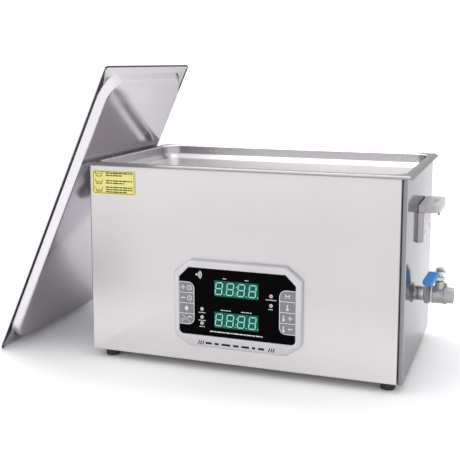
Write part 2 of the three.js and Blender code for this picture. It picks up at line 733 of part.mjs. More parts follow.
function buildGenerator(parent) {
  const floor = HOUSING.bottom + SHEET + GAP;
  const generator = subgroup(parent, [0, 0, floor]);
  const posts = [];
  for (const x of [-150, 40]) {
    for (const y of [-42, 42]) posts.push(rod("z", 4, 0, 11, [x, y], SMALL_ROUND));
  }
  const plate = block([-160, -50, 10], [50, 50, 11.6]);
  const parts = [
    block([-148, -38, 11], [-116, -12, 36]),
    block([-148, 8, 11], [-122, 34, 32]),
    rod("z", 9, 11, 38, [-98, -24], SMALL_ROUND),
    rod("z", 9, 11, 38, [-98, 24], SMALL_ROUND),
  ];
  add(generator, "generator_board", join(plate, ...parts, ...posts), MATERIAL.board);

  const fins = [];
  for (let fin = 0; fin < 7; fin += 1) {
    const y = -30 + 10 * fin;
    fins.push(block([-70, y - 1.2, 15], [30, y + 1.2, 36]));
  }
  const spine = block([-70, -32, 11.9], [30, 32, 16]);
  add(generator, "generator_heatsink", join(spine, ...fins), MATERIAL.ceramic);
}

// ---------------------------------------------------------------- rear panel fittings

function buildFan(parent) {
  const { size, depth, x, z, hole } = FAN;
  const outside = housingY - SHEET - GAP;
  const inside = outside - depth;
  const fan = subgroup(parent, [x, 0, z]);
  const half = size / 2;
  const casing = cut(
    block([-half, inside, -half], [half, outside, half]),
    rod("y", hole + 0.5, inside - 1, outside + 1),
  );
  const spider = [
    rod("y", 17, inside, inside + 3),
    block([-half, inside, -2], [half, inside + 2.5, 2]),
    block([-2, inside, -half], [2, inside + 2.5, half]),
    rod("y", 2.2, inside, inside + 12, [0, 0], SMALL_ROUND),
  ];
  add(fan, "fan_frame", join(casing, ...spider), MATERIAL.plastic);

  const blades = [];
  const bladeCount = 7;
  for (let blade = 0; blade < bladeCount; blade += 1) {
    const vane = new THREE.BoxGeometry(22, 2, 20);
    vane.rotateX(THREE.MathUtils.degToRad(35));
    vane.translate(25.5, (inside + outside) / 2 + 1, 0);
    blades.push(vane.rotateY((2 * Math.PI * blade) / bladeCount));
  }
  const hub = rod("y", 17, inside + 3.5, outside - 2.5);
  const spindleHole = rod("y", 2.6, inside, inside + 12.5, [0, 0], SMALL_ROUND);
  add(fan, "fan_rotor", cut(join(hub, ...blades), spindleHole), MATERIAL.plastic);

  const guardBack = housingY + GAP;
  const guardFront = guardBack + 2.5;
  const ring = (radius) => cut(
    rod("y", radius + 1.2, guardBack, guardFront),
    rod("y", radius - 1.2, guardBack - 1, guardFront + 1),
  );
  const bars = [];
  for (const turn of [Math.PI / 4, -Math.PI / 4]) {
    const bar = block([-48, guardBack, -1.2], [48, guardFront, 1.2]);
    bars.push(bar.rotateY(turn));
  }
  add(fan, "fan_grille", join(ring(38), ring(28), ring(18), ring(8), ...bars), MATERIAL.polished);
}

function buildPowerInlet(parent) {
  const inlet = subgroup(parent, [INLET.x, housingY, INLET.z]);
  const flange = block([-24, GAP, -12.5], [24, 3, 12.5]);
  const shell = block([-14.5, -22, -10.5], [14.5, 1, 10.5]);
  const socket = block([-12, -17, -8], [12, 5, 8]);
  const blades = [[-7, -1.5], [0, 2], [7, -1.5]].map(([x, z]) => (
    block([x - 1, -18, z - 2.5], [x + 1, -4, z + 2.5])
  ));
  add(inlet, "power_inlet", join(cut(join(flange, shell), socket), ...blades), MATERIAL.plastic);
}

function buildPowerSwitch(parent) {
  const rocker = subgroup(parent, [SWITCH.x, housingY, SWITCH.z]);
  const frame = cut(
    join(block([-12, GAP, -17], [12, 2.5, 17]), block([-10, -18, -14], [10, 1, 14])),
    block([-8, -14, -12], [8, 5, 12]),
  );
  add(rocker, "switch_frame", frame, MATERIAL.plastic);
  const profile = outline([[-3, -10.2], [3.5, -10.2], [2.2, 0], [3.5, 10.2], [-3, 10.2], [-7, 0]]);
  const button = facingRight(prism(profile, 15)).translate(-7.5, 0, 0);
  const piece = add(rocker, "switch_rocker", button, MATERIAL.plastic, [0, -1, 0]);
  piece.rotation.x = -SWITCH.tilt;
}

// ---------------------------------------------------------------- lid

/** The pressed lid lying on its back: edge at x = 0, pan rising towards +Z. */
function lidShell() {
  const { length, width, pan, panWidth, rise, draft, corner } = LID;
  const deep = 2 * rise;
  const trim = block([-length, -length, -100], [length, length, rise]);
  const panSolid = (shrink, top) => {
    const shape = rectangle(pan - 2 * shrink, panWidth - 2 * shrink, corner - shrink);
    return cut(bevelled(shape, deep, draft, rise, 1, 4), trim).translate(0, 0, top - deep);
  };
  const flange = prism(rectangle(length, width, LID_EDGE.corner), SHEET + LID_EDGE.depth);
  const flangeInside = rectangle(length - 2 * SHEET, width - 2 * SHEET, LID_EDGE.corner - SHEET);
  const flangeHollow = prism(flangeInside, 10);
  const plate = cut(flange, flangeHollow.translate(0, 0, SHEET));
  const inside = block([-length, -width, -10], [length, width, 0]);
  const mouth = rectangle(pan - 2 * SHEET, panWidth - 2 * SHEET, corner);
  const hollow = join(panSolid(SHEET, rise), prism(mouth, 1));
  const solid = join(plate, panSolid(0, rise + SHEET));
  return cut(solid, inside, hollow.translate(0, 0, -0.01)).translate(length / 2, 0, 0);
}

function buildLid(parent) {
  const { lean, depth, centreY } = LID_EDGE;
  const lift = (depth + SHEET) * Math.cos(lean);
  const reach = LID.rise + SHEET + 0.4;
  const rimTipX = -RIM.length / 2;
  const rimTipZ = RIM.top - RIM.lipDrop;
  const footX = rimTipX - (reach + (rimTipZ - lift) * Math.cos(lean)) / Math.sin(lean);
  const leaning = subgroup(parent, [footX, centreY, lift]);
  leaning.rotation.y = -lean;
  const lid = add(leaning, "lid", lidShell(), MATERIAL.polished);
  lid.rotation.x = Math.PI;
}

// ---------------------------------------------------------------- assembly

const cleaner = new THREE.Group();
const body = subgroup(cleaner);
buildTank(body);
buildHousing(body);
buildFeet(body);
buildControlPanel(body);
buildHandle(body, "right", 1, false);
buildHandle(body, "left", -1, true);
buildDrain(body);
buildTransducers(body);
buildHeating(body);
buildGenerator(body);
buildFan(body);
buildPowerInlet(body);
buildPowerSwitch(body);
buildLid(body);

cleaner.updateMatrixWorld(true);
const extent = new THREE.Box3().setFromObject(cleaner, true);
body.position.set(-(extent.min.x + extent.max.x) / 2, -(extent.min.y + extent.max.y) / 2, -extent.min.z);
cleaner.updateMatrixWorld(true);

export default cleaner;
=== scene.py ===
"""Looks of a bench-top ultrasonic cleaner, its lid leaning on the left end of the tank.

Shapes are made in millimetres about the point on the floor under the middle of the tank:
+X to the right, +Y to the back, +Z up. TO_ROW carries them into the row frame, in metres.
"""

import math

import bmesh
import bpy
from mathutils import Matrix, Vector


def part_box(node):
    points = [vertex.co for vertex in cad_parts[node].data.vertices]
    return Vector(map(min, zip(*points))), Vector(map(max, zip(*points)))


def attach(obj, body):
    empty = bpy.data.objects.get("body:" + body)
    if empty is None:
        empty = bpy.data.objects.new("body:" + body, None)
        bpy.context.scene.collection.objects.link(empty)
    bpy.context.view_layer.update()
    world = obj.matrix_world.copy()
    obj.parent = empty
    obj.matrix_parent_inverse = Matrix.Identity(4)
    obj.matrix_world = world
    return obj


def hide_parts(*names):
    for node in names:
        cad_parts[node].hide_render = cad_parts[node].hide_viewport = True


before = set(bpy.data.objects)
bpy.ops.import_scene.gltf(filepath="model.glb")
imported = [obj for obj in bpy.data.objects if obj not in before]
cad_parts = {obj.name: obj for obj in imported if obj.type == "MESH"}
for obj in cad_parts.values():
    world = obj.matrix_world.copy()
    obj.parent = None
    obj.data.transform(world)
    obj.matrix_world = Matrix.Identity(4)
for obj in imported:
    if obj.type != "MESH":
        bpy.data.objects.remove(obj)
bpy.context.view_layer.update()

# ---------------- places, from the frame

MM = 0.001
tank_low, tank_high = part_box("tank")
TO_ROW = Matrix.Translation(((tank_low.x + tank_high.x) / 2, (tank_low.y + tank_high.y) / 2, 0))
TO_ROW = TO_ROW @ Matrix.Scale(MM, 4)
TO_BODY = TO_ROW.inverted()


def node_box(node):
    """Lowest and highest corner of a CAD node, in body millimetres."""
    low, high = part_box(node)
    return TO_BODY @ low, TO_BODY @ high


def node_middle(node):
    """X, Y and Z of the middle of a CAD node's box, in body millimetres."""
    return [(low + high) / 2 for low, high in zip(*node_box(node))]


def back_middle(node):
    """The middle of a rear fitting, as on_back takes it."""
    x, _, z = node_middle(node)
    return -x, z


SHEET = 1.5
WALL_X, WALL_Y, WALL_TOP = node_box("housing_wrap")[1]
WALL_BOTTOM = node_box("housing_wrap")[0].z
RETURN_X = 252.2
RIM_X, RIM_Y, RIM_TOP = node_box("tank")[1]
PANEL_Z = node_middle("control_bezel")[2]
VALVE_Z = node_middle("drain_locknut")[2]
STEM_X = node_middle("valve_ball")[0]


# ---------------- placing functions


def upright(a, b, depth):
    """An outline in X and Y, its depth running up."""
    return (a, b, depth)


def on_panel(a, b, depth):
    """An outline on the front wall about the panel's middle, its depth towards the user."""
    return (a, -WALL_Y - depth, PANEL_Z + b)


def on_front(a, b, depth):
    """An outline in X and Z on the front wall, its depth towards the user."""
    return (a, -WALL_Y - depth, b)


def on_back(a, b, depth):
    """An outline on the back wall as seen from behind, its depth away from the wall."""
    return (-a, WALL_Y + depth, b)


def along_x(a, b, depth):
    """An outline in Y and Z, its depth running to +X from the valve stem, about the valve's axis."""
    return (STEM_X + depth, a, VALVE_Z + b)


def on_stem(a, b, depth):
    """An outline about the valve's upright stem, its depth running up from the valve's axis."""
    return (STEM_X + a, b, VALVE_Z + depth)


# ---------------- mesh helpers


def rounded(corners, steps=8):
    """Points of a closed outline through (x, y, radius) corners, listed counter-clockwise."""
    points = []
    for i, (x, y, radius) in enumerate(corners):
        corner = Vector((x, y))
        if radius == 0:
            points.append((x, y))
            continue
        back = (Vector(corners[i - 1][:2]) - corner).normalized()
        ahead = (Vector(corners[(i + 1) % len(corners)][:2]) - corner).normalized()
        half = back.angle(ahead) / 2
        centre = corner + (back + ahead).normalized() * radius / math.sin(half)
        first = corner + back * radius / math.tan(half) - centre
        turn = first.angle_signed(corner + ahead * radius / math.tan(half) - centre)
        for step in range(steps + 1):
            angle = -turn * step / steps
            spun = Matrix.Rotation(angle, 2) @ first
            points.append(tuple(centre + spun))
    return points


def rectangle(length, width, radius, steps=8):
    """A rounded rectangle about the origin."""
    x, y = length / 2, width / 2
    return rounded([(x, -y, radius), (x, y, radius), (-x, y, radius), (-x, -y, radius)], steps)


def circle(radius, steps, centre=(0, 0)):
    """Points round a circle."""
    angles = [2 * math.pi / steps * i for i in range(steps)]
    return [(centre[0] + radius * math.cos(a), centre[1] + radius * math.sin(a)) for a in angles]


def block(x0, y0, x1, y1):
    """The outline of a plain rectangle between two opposite corners."""
    return [(x0, y0), (x1, y0), (x1, y1), (x0, y1)]


def mirrored(corners):
    """Corners of an outline on the other side of the Y axis."""
    return [(-x, y, radius) for x, y, radius in reversed(corners)]


def shifted(points, x, y):
    """An outline moved by x and y."""
    return [(a + x, b + y) for a, b in points]


def loft(rings, ends="capped"):
    """A skin through rings of equally many points; its ends are capped, open, or joined to each other."""
    bm = bmesh.new()
    rows = [[bm.verts.new(point) for point in ring] for ring in rings]
    pairs = list(zip(rows, rows[1:]))
    if ends == "joined":
        pairs.append((rows[-1], rows[0]))
    for low, high in pairs:
        for i in range(len(low)):
            j = (i + 1) % len(low)
            bm.faces.new((low[i], low[j], high[j], high[i]))
    if ends == "capped":
        bm.faces.new(rows[0][::-1])
        bm.faces.new(rows[-1])
    bmesh.ops.recalc_face_normals(bm, faces=bm.faces)
    return bm


def prism(points, low, high, place=upright):
    """An outline drawn out from one depth to another."""
    return loft([[place(a, b, depth) for a, b in points] for depth in (low, high)])


def turned(profile, place=upright, steps=64, about=(0, 0)):
    """A turned piece; profile lists (radius, depth). It ends on the axis, or closes on itself."""
    closed = profile[0] == profile[-1]
    stations = profile[:-1] if closed else profile
    rings = []
    for radius, depth in stations:
        rings.append([place(a, b, depth) for a, b in circle(max(radius, 1e-4), steps, about)])
    return loft(rings, "joined" if closed else "capped")


def disc(radius, low, high, place=upright, steps=64, about=(0, 0)):
    """A solid cylinder."""
    return turned([(0, low), (radius, low), (radius, high), (0, high)], place, steps, about)


def tube(inner, outer, low, high, place, steps=64, about=(0, 0)):
    """A hollow cylinder."""
    section = [(inner, low), (outer, low), (outer, high), (inner, high), (inner, low)]
    return turned(section, place, steps, about)


def arc(centre, radius, start, end, steps=6):
    """(radius, depth) points of a rounded edge on a turned piece, angles in degrees."""
    angles = [math.radians(start + (end - start) * i / steps) for i in range(steps + 1)]
    return [(centre[0] + radius * math.cos(a), centre[1] + radius * math.sin(a)) for a in angles]


def swept(path, radius, closed=False):
    """A round wire along a path of points."""
    points = [Vector(p) for p in path]
    rings = []
    side = None
    for i, point in enumerate(points):
        ahead = points[(i + 1) % len(points)] if closed or i + 1 < len(points) else point
        behind = points[i - 1] if closed or i > 0 else point
        along = (ahead - behind).normalized()
        if side is None:
            side = along.orthogonal().normalized()
        side = (side - along * side.dot(along)).normalized()
        other = along.cross(side)
        rings.append([point + side * a + other * b for a, b in circle(radius, 12)])
    return loft(rings, "joined" if closed else "capped")


def merged(*parts):
    """Several bmeshes as one."""
    whole = parts[0]
    for part in parts[1:]:
        mesh = bpy.data.meshes.new("part")
        part.to_mesh(mesh)
        part.free()
        whole.from_mesh(mesh)
        bpy.data.meshes.remove(mesh)
    return whole


def temporary(bm):
    """An object that holds a bmesh while a boolean works on it."""
    mesh = bpy.data.meshes.new("temporary")
    bm.to_mesh(mesh)
    bm.free()
    obj = bpy.data.objects.new("temporary", mesh)
    bpy.context.scene.collection.objects.link(obj)
    return obj


def combined(bm, tool, operation):
    """One bmesh cut, joined or crossed with another by an exact boolean."""
    body, other = temporary(bm), temporary(tool)
    modifier = body.modifiers.new("boolean", "BOOLEAN")
    modifier.operation = operation
    modifier.solver = "EXACT"
    modifier.object = other
    bpy.context.view_layer.update()
    result = bmesh.new()
    shaped = body.evaluated_get(bpy.context.evaluated_depsgraph_get())
    result.from_mesh(shaped.to_mesh())
    shaped.to_mesh_clear()
    for obj in (body, other):
        mesh = obj.data
        bpy.data.objects.remove(obj)
        bpy.data.meshes.remove(mesh)
    return result


def carve(bm, *tools):
    """Cuts tools out of a bmesh."""
    for tool in tools:
        bm = combined(bm, tool, "DIFFERENCE")
    return bm


def fuse(bm, *others):
    """Joins bmeshes into one closed skin."""
    for other in others:
        bm = combined(bm, other, "UNION")
    return bm


def ribbon(points, width, closed):
    """The right and left edge of a pen stroke at each of its points, mitred at the bends."""
    count = len(points)
    sides = []
    for i, point in enumerate(points):
        here = Vector(point)
        ahead = Vector(points[(i + 1) % count]) if closed or i + 1 < count else None
        behind = Vector(points[i - 1]) if closed or i > 0 else None
        before = (here - behind).normalized() if behind else (ahead - here).normalized()
        after = (ahead - here).normalized() if ahead else before
        normal = Vector((-(before + after).y, (before + after).x)).normalized()
        stretch = width / 2 / max(0.4, normal.dot(Vector((-before.y, before.x))))
        sides.append((here - normal * stretch, here + normal * stretch))
    return sides


def stroke(points, width, low, high, place, closed=False):
    """A thin printed or moulded stroke along points."""
    rings = []
    for right, left in ribbon(points, width, closed):
        corners = [(right, low), (left, low), (left, high), (right, high)]
        rings.append([place(p.x, p.y, depth) for p, depth in corners])
    return loft(rings, "joined" if closed else "capped")


def add_bevel(obj, width, steps=2, angle=30):
    """Rounds an object's sharp edges; width in millimetres, angle in degrees."""
    modifier = obj.modifiers.new("edges", "BEVEL")
    modifier.width = width * MM
    modifier.segments = steps
    modifier.limit_method = "ANGLE"
    modifier.angle_limit = math.radians(angle)
    modifier.harden_normals = True


SHARP_ANGLE = 32


def piece(name, bm, material, body="chassis", replaces=(), bevel=0, steps=2):
    """Makes a bmesh in body millimetres into a piece that rides on a CAD body."""
    bmesh.ops.remove_doubles(bm, verts=bm.verts, dist=0.002)
    bmesh.ops.recalc_face_normals(bm, faces=bm.faces)
    bm.transform(TO_ROW)
    mesh = bpy.data.meshes.new(name)
    bm.to_mesh(mesh)
    bm.free()
    mesh.shade_smooth()
    mesh.set_sharp_from_angle(angle=math.radians(SHARP_ANGLE))
    mesh.materials.append(material)
    obj = bpy.data.objects.new(name, mesh)
    bpy.context.scene.collection.objects.link(obj)
    if bevel:
        add_bevel(obj, bevel, steps, SHARP_ANGLE)
    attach(obj, body)
    if replaces:
        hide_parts(*replaces)
    return obj


def repaint(obj, material, chosen):
    """Gives another material to the faces that a test of centre (body millimetres) and normal picks."""
    obj.data.materials.append(material)
    index = len(obj.data.materials) - 1
    for face in obj.data.polygons:
        if chosen(TO_BODY @ face.center, face.normal):
            face.material_index = index


def dress(node, material, bevel):
    """Gives a CAD node that is shown as it is its material and softened edges."""
    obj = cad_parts[node]
    obj.data.materials.clear()
    obj.data.materials.append(material)
    add_bevel(obj, bevel)


# ---------------- materials


class Shader:
    """A procedural material: a Principled shader fed by noise in the object's own metres."""

    def __init__(self, name, colour, roughness, metallic=0.0, **inputs):
        self.material = bpy.data.materials.new(name)
        self.material.use_nodes = True
        self.tree = self.material.node_tree
        self.main = self.tree.nodes["Principled BSDF"]
        self.set("Base Color", (*colour, 1))
        self.set("Roughness", roughness)
        self.set("Metallic", metallic)
        for key, value in inputs.items():
            self.set(key.replace("_", " "), value)
        self.place = self.node("ShaderNodeTexCoord").outputs["Object"]

    def node(self, kind, **values):
        made = self.tree.nodes.new(kind)
        for key, value in values.items():
            setattr(made, key, value)
        return made

    def set(self, key, value):
        self.main.inputs[key].default_value = value

    def link(self, source, target):
        self.tree.links.new(source, target)

    def noise(self, scale, stretch=(1, 1, 1), *, detail, rough=0.55):
        """Noise from 0 to 1; scale is in features per metre, stretch squeezes it along each axis."""
        mapping = self.node("ShaderNodeMapping")
        mapping.inputs["Scale"].default_value = stretch
        self.link(self.place, mapping.inputs["Vector"])
        made = self.node("ShaderNodeTexNoise")
        made.inputs["Scale"].default_value = scale
        made.inputs["Detail"].default_value = detail
        made.inputs["Roughness"].default_value = rough
        self.link(mapping.outputs["Vector"], made.inputs["Vector"])
        return made.outputs["Fac"]

    def spread(self, source, low, high, start=0.3, end=0.7):
        """Maps a value from start..end to low..high."""
        made = self.node("ShaderNodeMapRange")
        for key, value in (("From Min", start), ("From Max", end), ("To Min", low), ("To Max", high)):
            made.inputs[key].default_value = value
        self.link(source, made.inputs["Value"])
        return made.outputs["Result"]

    def tint(self, source, dark, light, start=0.3, end=0.7):
        """Colours between two shades by a value."""
        made = self.node("ShaderNodeMix", data_type="RGBA")
        made.inputs["A"].default_value = (*dark, 1)
        made.inputs["B"].default_value = (*light, 1)
        self.link(self.spread(source, 0, 1, start, end), made.inputs["Factor"])
        self.link(made.outputs["Result"], self.main.inputs["Base Color"])

    def height(self):
        """Height above the floor, in metres."""
        made = self.node("ShaderNodeSeparateXYZ")
        self.link(self.place, made.inputs["Vector"])
        return made.outputs["Z"]

    def patch(self, centre, radius):
        """A soft round patch: 1 at its centre, 0 beyond its radius, both in metres."""
        mapping = self.node("ShaderNodeMapping")
        mapping.inputs["Location"].default_value = Vector(centre) / -radius
        mapping.inputs["Scale"].default_value = (1 / radius,) * 3
        self.link(self.place, mapping.inputs["Vector"])
        made = self.node("ShaderNodeTexGradient", gradient_type="QUADRATIC_SPHERE")
        self.link(mapping.outputs["Vector"], made.inputs["Vector"])
        return made.outputs["Fac"]

    def total(self, first, *others):
        """The sum of several values."""
        for other in others:
            made = self.node("ShaderNodeMath", operation="ADD")
            self.link(first, made.inputs[0])
            self.link(other, made.inputs[1])
            first = made.outputs["Value"]
        return first

    def rough(self, source, low, high):
        """Varies the roughness between two values."""
        self.link(self.spread(source, low, high), self.main.inputs["Roughness"])

    def bump(self, *layers):
        """Adds bump; each layer is (noise, strength, depth in metres)."""
        last = None
        for source, strength, depth in layers:
            made = self.node("ShaderNodeBump")
            made.inputs["Strength"].default_value = strength
            made.inputs["Distance"].default_value = depth
            self.link(source, made.inputs["Height"])
            if last:
                self.link(last, made.inputs["Normal"])
            last = made.outputs["Normal"]
        self.link(last, self.main.inputs["Normal"])


def shades(colour, spread):
    """A slightly darker and a slightly lighter version of a colour."""
    return tuple(c * (1 - spread) for c in colour), tuple(min(1, c * (1 + spread)) for c in colour)


def brushed_steel(name, colour, roughness, stretch, scratch=0.12, glance=1.0):
    """Sheet steel with fine brushing, stretched along one axis; glance scales its mirror at low angles."""
    made = Shader(name, colour, roughness, 1.0)
    made.set("Specular Tint", (glance, glance, glance, 1))
    fine = made.noise(1500, stretch, detail=3)
    broad = made.noise(7, detail=2)
    made.tint(broad, *shades(colour, 0.02))
    made.rough(fine, roughness - 0.05, roughness + 0.07)
    made.bump((fine, scratch, 0.00002), (broad, 0.05, 0.0006))
    return made.material


def front_steel():
    """Brushed sheet with painted light: a painted highlight along its bottom and top edges, and painted
    shade at the middle of its left edge.
    """
    colour = (0.55, 0.53, 0.537)
    made = Shader("steel_front", colour, 0.34, 1.0)
    fine = made.noise(1500, VERTICAL, detail=3)
    broad = made.noise(7, detail=2)
    height = made.height()
    left_edge = TO_ROW @ Vector((-WALL_X, -WALL_Y, 150))
    # painted light: lighter towards the bottom and the top, and a round patch of painted shade at the left
    # edge
    shade = made.total(
        made.spread(height, 0.42, 0, 0.02, 0.13), made.spread(height, 0, 0.14, 0.24, 0.32),
        made.spread(made.patch(left_edge, 0.16), 0, -0.4, 0, 0.8), made.spread(broad, -0.03, 0.03),
    )
    made.tint(shade, *shades(colour, 0.3), start=-0.5, end=0.5)
    made.rough(fine, 0.29, 0.41)
    made.bump((fine, 0.12, 0.00002), (broad, 0.05, 0.0006))
    return made.material


def satin_steel(name, colour, roughness):
    """Drawn stainless sheet with a soft mirror finish and faint waviness from the press."""
    made = Shader(name, colour, roughness, 1.0)
    fine = made.noise(900, detail=3)
    smudge = made.noise(22, detail=4)
    wave = made.noise(6, detail=1)
    made.set("Specular Tint", (0.4, 0.4, 0.4, 1))
    made.tint(smudge, *shades(colour, 0.015))
    made.rough(smudge, roughness - 0.02, roughness + 0.03)
    made.bump((wave, 0.03, 0.0012), (fine, 0.015, 0.00002))
    return made.material


def plastic(name, colour, roughness, grain, depth, **inputs):
    """Moulded plastic with a fine grain and slight unevenness of colour."""
    made = Shader(name, colour, roughness, **inputs)
    fine = made.noise(grain, detail=3)
    broad = made.noise(30, detail=3)
    made.tint(broad, *shades(colour, 0.035))
    made.rough(fine, roughness - 0.05, roughness + 0.06)
    made.bump((fine, 0.25, depth))
    return made.material


def cast_nickel(name, colour, roughness, lumps):
    """Plated metal; lumps is the depth of the cast grain in metres."""
    made = Shader(name, colour, roughness, 1.0)
    grain = made.noise(520, detail=5, rough=0.65)
    patch = made.noise(90, detail=3)
    made.tint(patch, *shades(colour, 0.1))
    made.rough(grain, roughness - 0.06, roughness + 0.1)
    made.bump((grain, 0.5, lumps), (patch, 0.25, lumps))
    return made.material


def glowing(name, colour, strength):
    """Lit display segments, a little uneven like real diffusers."""
    made = Shader(name, colour, 0.5)
    patch = made.noise(260, detail=2)
    made.tint(patch, *shades([0.15 * c for c in colour], 0.06))
    made.set("Emission Color", (*colour, 1))
    made.link(made.spread(patch, strength * 0.9, strength * 1.1), made.main.inputs["Emission Strength"])
    return made.material


VERTICAL = (1, 1, 0.012)
STEEL_FRONT = front_steel()
# the housing steel twice: darker on the right wall as painted shade, lighter on the left and back walls as
# painted light
STEEL_SIDE = brushed_steel("steel_side", (0.45, 0.435, 0.468), 0.1, VERTICAL, 0.02, 0.64)
STEEL_LEFT_PAINTED_LIGHT = brushed_steel("steel_left_painted_light", (0.62, 0.60, 0.63), 0.25, VERTICAL, 0.06)
STEEL_HIDDEN = brushed_steel("steel_hidden", (0.44, 0.44, 0.45), 0.4, (0.02, 1, 1))
STEEL_TANK = satin_steel("steel_tank", (0.46, 0.443, 0.462), 0.27)
# a lighter copy of the tank steel for the basin below the ledge: painted light
STEEL_BASIN_PAINTED_LIGHT = satin_steel("steel_basin_painted_light", (0.80, 0.78, 0.79), 0.38)
# near-white steel for painted highlights on the tank's ledge and on the mouth's back edge
STEEL_PAINTED_HIGHLIGHT = satin_steel("steel_painted_highlight", (0.95, 0.93, 0.95), 0.3)
# dark steel for painted shade on the tank's front lip, the rim's back flat and the housing's return by the
# seam
STEEL_EDGE_SHADE = satin_steel("steel_edge_shade", (0.25, 0.242, 0.25), 0.3)
STEEL_SHADE = satin_steel("steel_shade", (0.22, 0.217, 0.226), 0.4)
STEEL_LID = satin_steel("steel_lid", (0.66, 0.64, 0.67), 0.14)
STEEL_LIT = satin_steel("steel_lit", (0.7, 0.685, 0.7), 0.25)
# near-black steel for painted shade along the lid's flange and turned edge
STEEL_HEM_SHADE = satin_steel("steel_hem_shade", (0.1, 0.098, 0.103), 0.2)
STEEL_WIRE = satin_steel("steel_wire", (0.56, 0.56, 0.57), 0.2)
SILVER = plastic("silver_paint", (0.50, 0.495, 0.52), 0.3, 2500, 0.00001, Metallic=0.35, Coat_Weight=0.4)
FILM_BLACK = plastic("film_black", (0.0015, 0.0014, 0.0015), 0.2, 700, 0.00001, Specular_IOR_Level=0.015)
FILM_GREY = plastic("film_grey", (0.19, 0.187, 0.203), 0.5, 2200, 0.00003, Specular_IOR_Level=0.25)
PRINT_LIGHT = plastic("print_light", (0.62, 0.61, 0.64), 0.5, 2500, 0.00001)
PRINT_DARK = plastic("print_dark", (0.012, 0.012, 0.013), 0.6, 2500, 0.00001, Specular_IOR_Level=0.1)
DISPLAY = plastic("display_filter", (0.007, 0.085, 0.062), 0.3, 900, 0.00001, Specular_IOR_Level=0.1)
SEGMENTS = glowing("display_segments", (0.27, 0.64, 0.57), 1.0)
LENS = plastic("lens_white", (0.62, 0.62, 0.64), 0.3, 2000, 0.00001)
RUBBER = plastic("rubber_black", (0.034, 0.035, 0.039), 0.7, 1400, 0.00008, Specular_IOR_Level=0.25)
GREY_PLASTIC = plastic("grey_plastic", (0.45, 0.437, 0.463), 0.5, 1300, 0.00005)
# a lighter copy of the grey plastic, painted light on the handle plates' outer faces
GREY_PLASTIC_PAINTED_LIGHT = plastic("grey_plastic_painted_light", (0.56, 0.555, 0.60), 0.5, 1300, 0.00005)
BLACK_PLASTIC = plastic("black_plastic", (0.018, 0.018, 0.02), 0.42, 1300, 0.00006)
NICKEL_CAST = cast_nickel("nickel_cast", (0.43, 0.418, 0.427), 0.34, 0.0005)
NICKEL = cast_nickel("nickel_turned", (0.52, 0.51, 0.52), 0.2, 0.00003)
VINYL_BLUE = plastic("vinyl_blue", (0.075, 0.255, 0.62), 0.4, 700, 0.0001, Specular_IOR_Level=0.3)
VINYL_YELLOW = plastic("vinyl_yellow", (0.66, 0.59, 0.205), 0.6, 1500, 0.00001, Specular_IOR_Level=0.2)
BOARD = plastic("solder_mask", (0.015, 0.12, 0.045), 0.4, 900, 0.00003)
CERAMIC = cast_nickel("transducer_alloy", (0.5, 0.5, 0.51), 0.4, 0.00004)
SILICONE = plastic("silicone_red", (0.5, 0.09, 0.03), 0.6, 700, 0.0001)
PTFE = plastic("seat_white", (0.85, 0.85, 0.83), 0.45, 900, 0.00003)


# ---------------- tank


def rounded_ring(half_x, half_y, radius, height):
    """A rounded rectangle at a height."""
    return [(x, y, height) for x, y in rectangle(2 * half_x, 2 * half_y, radius, 12)]


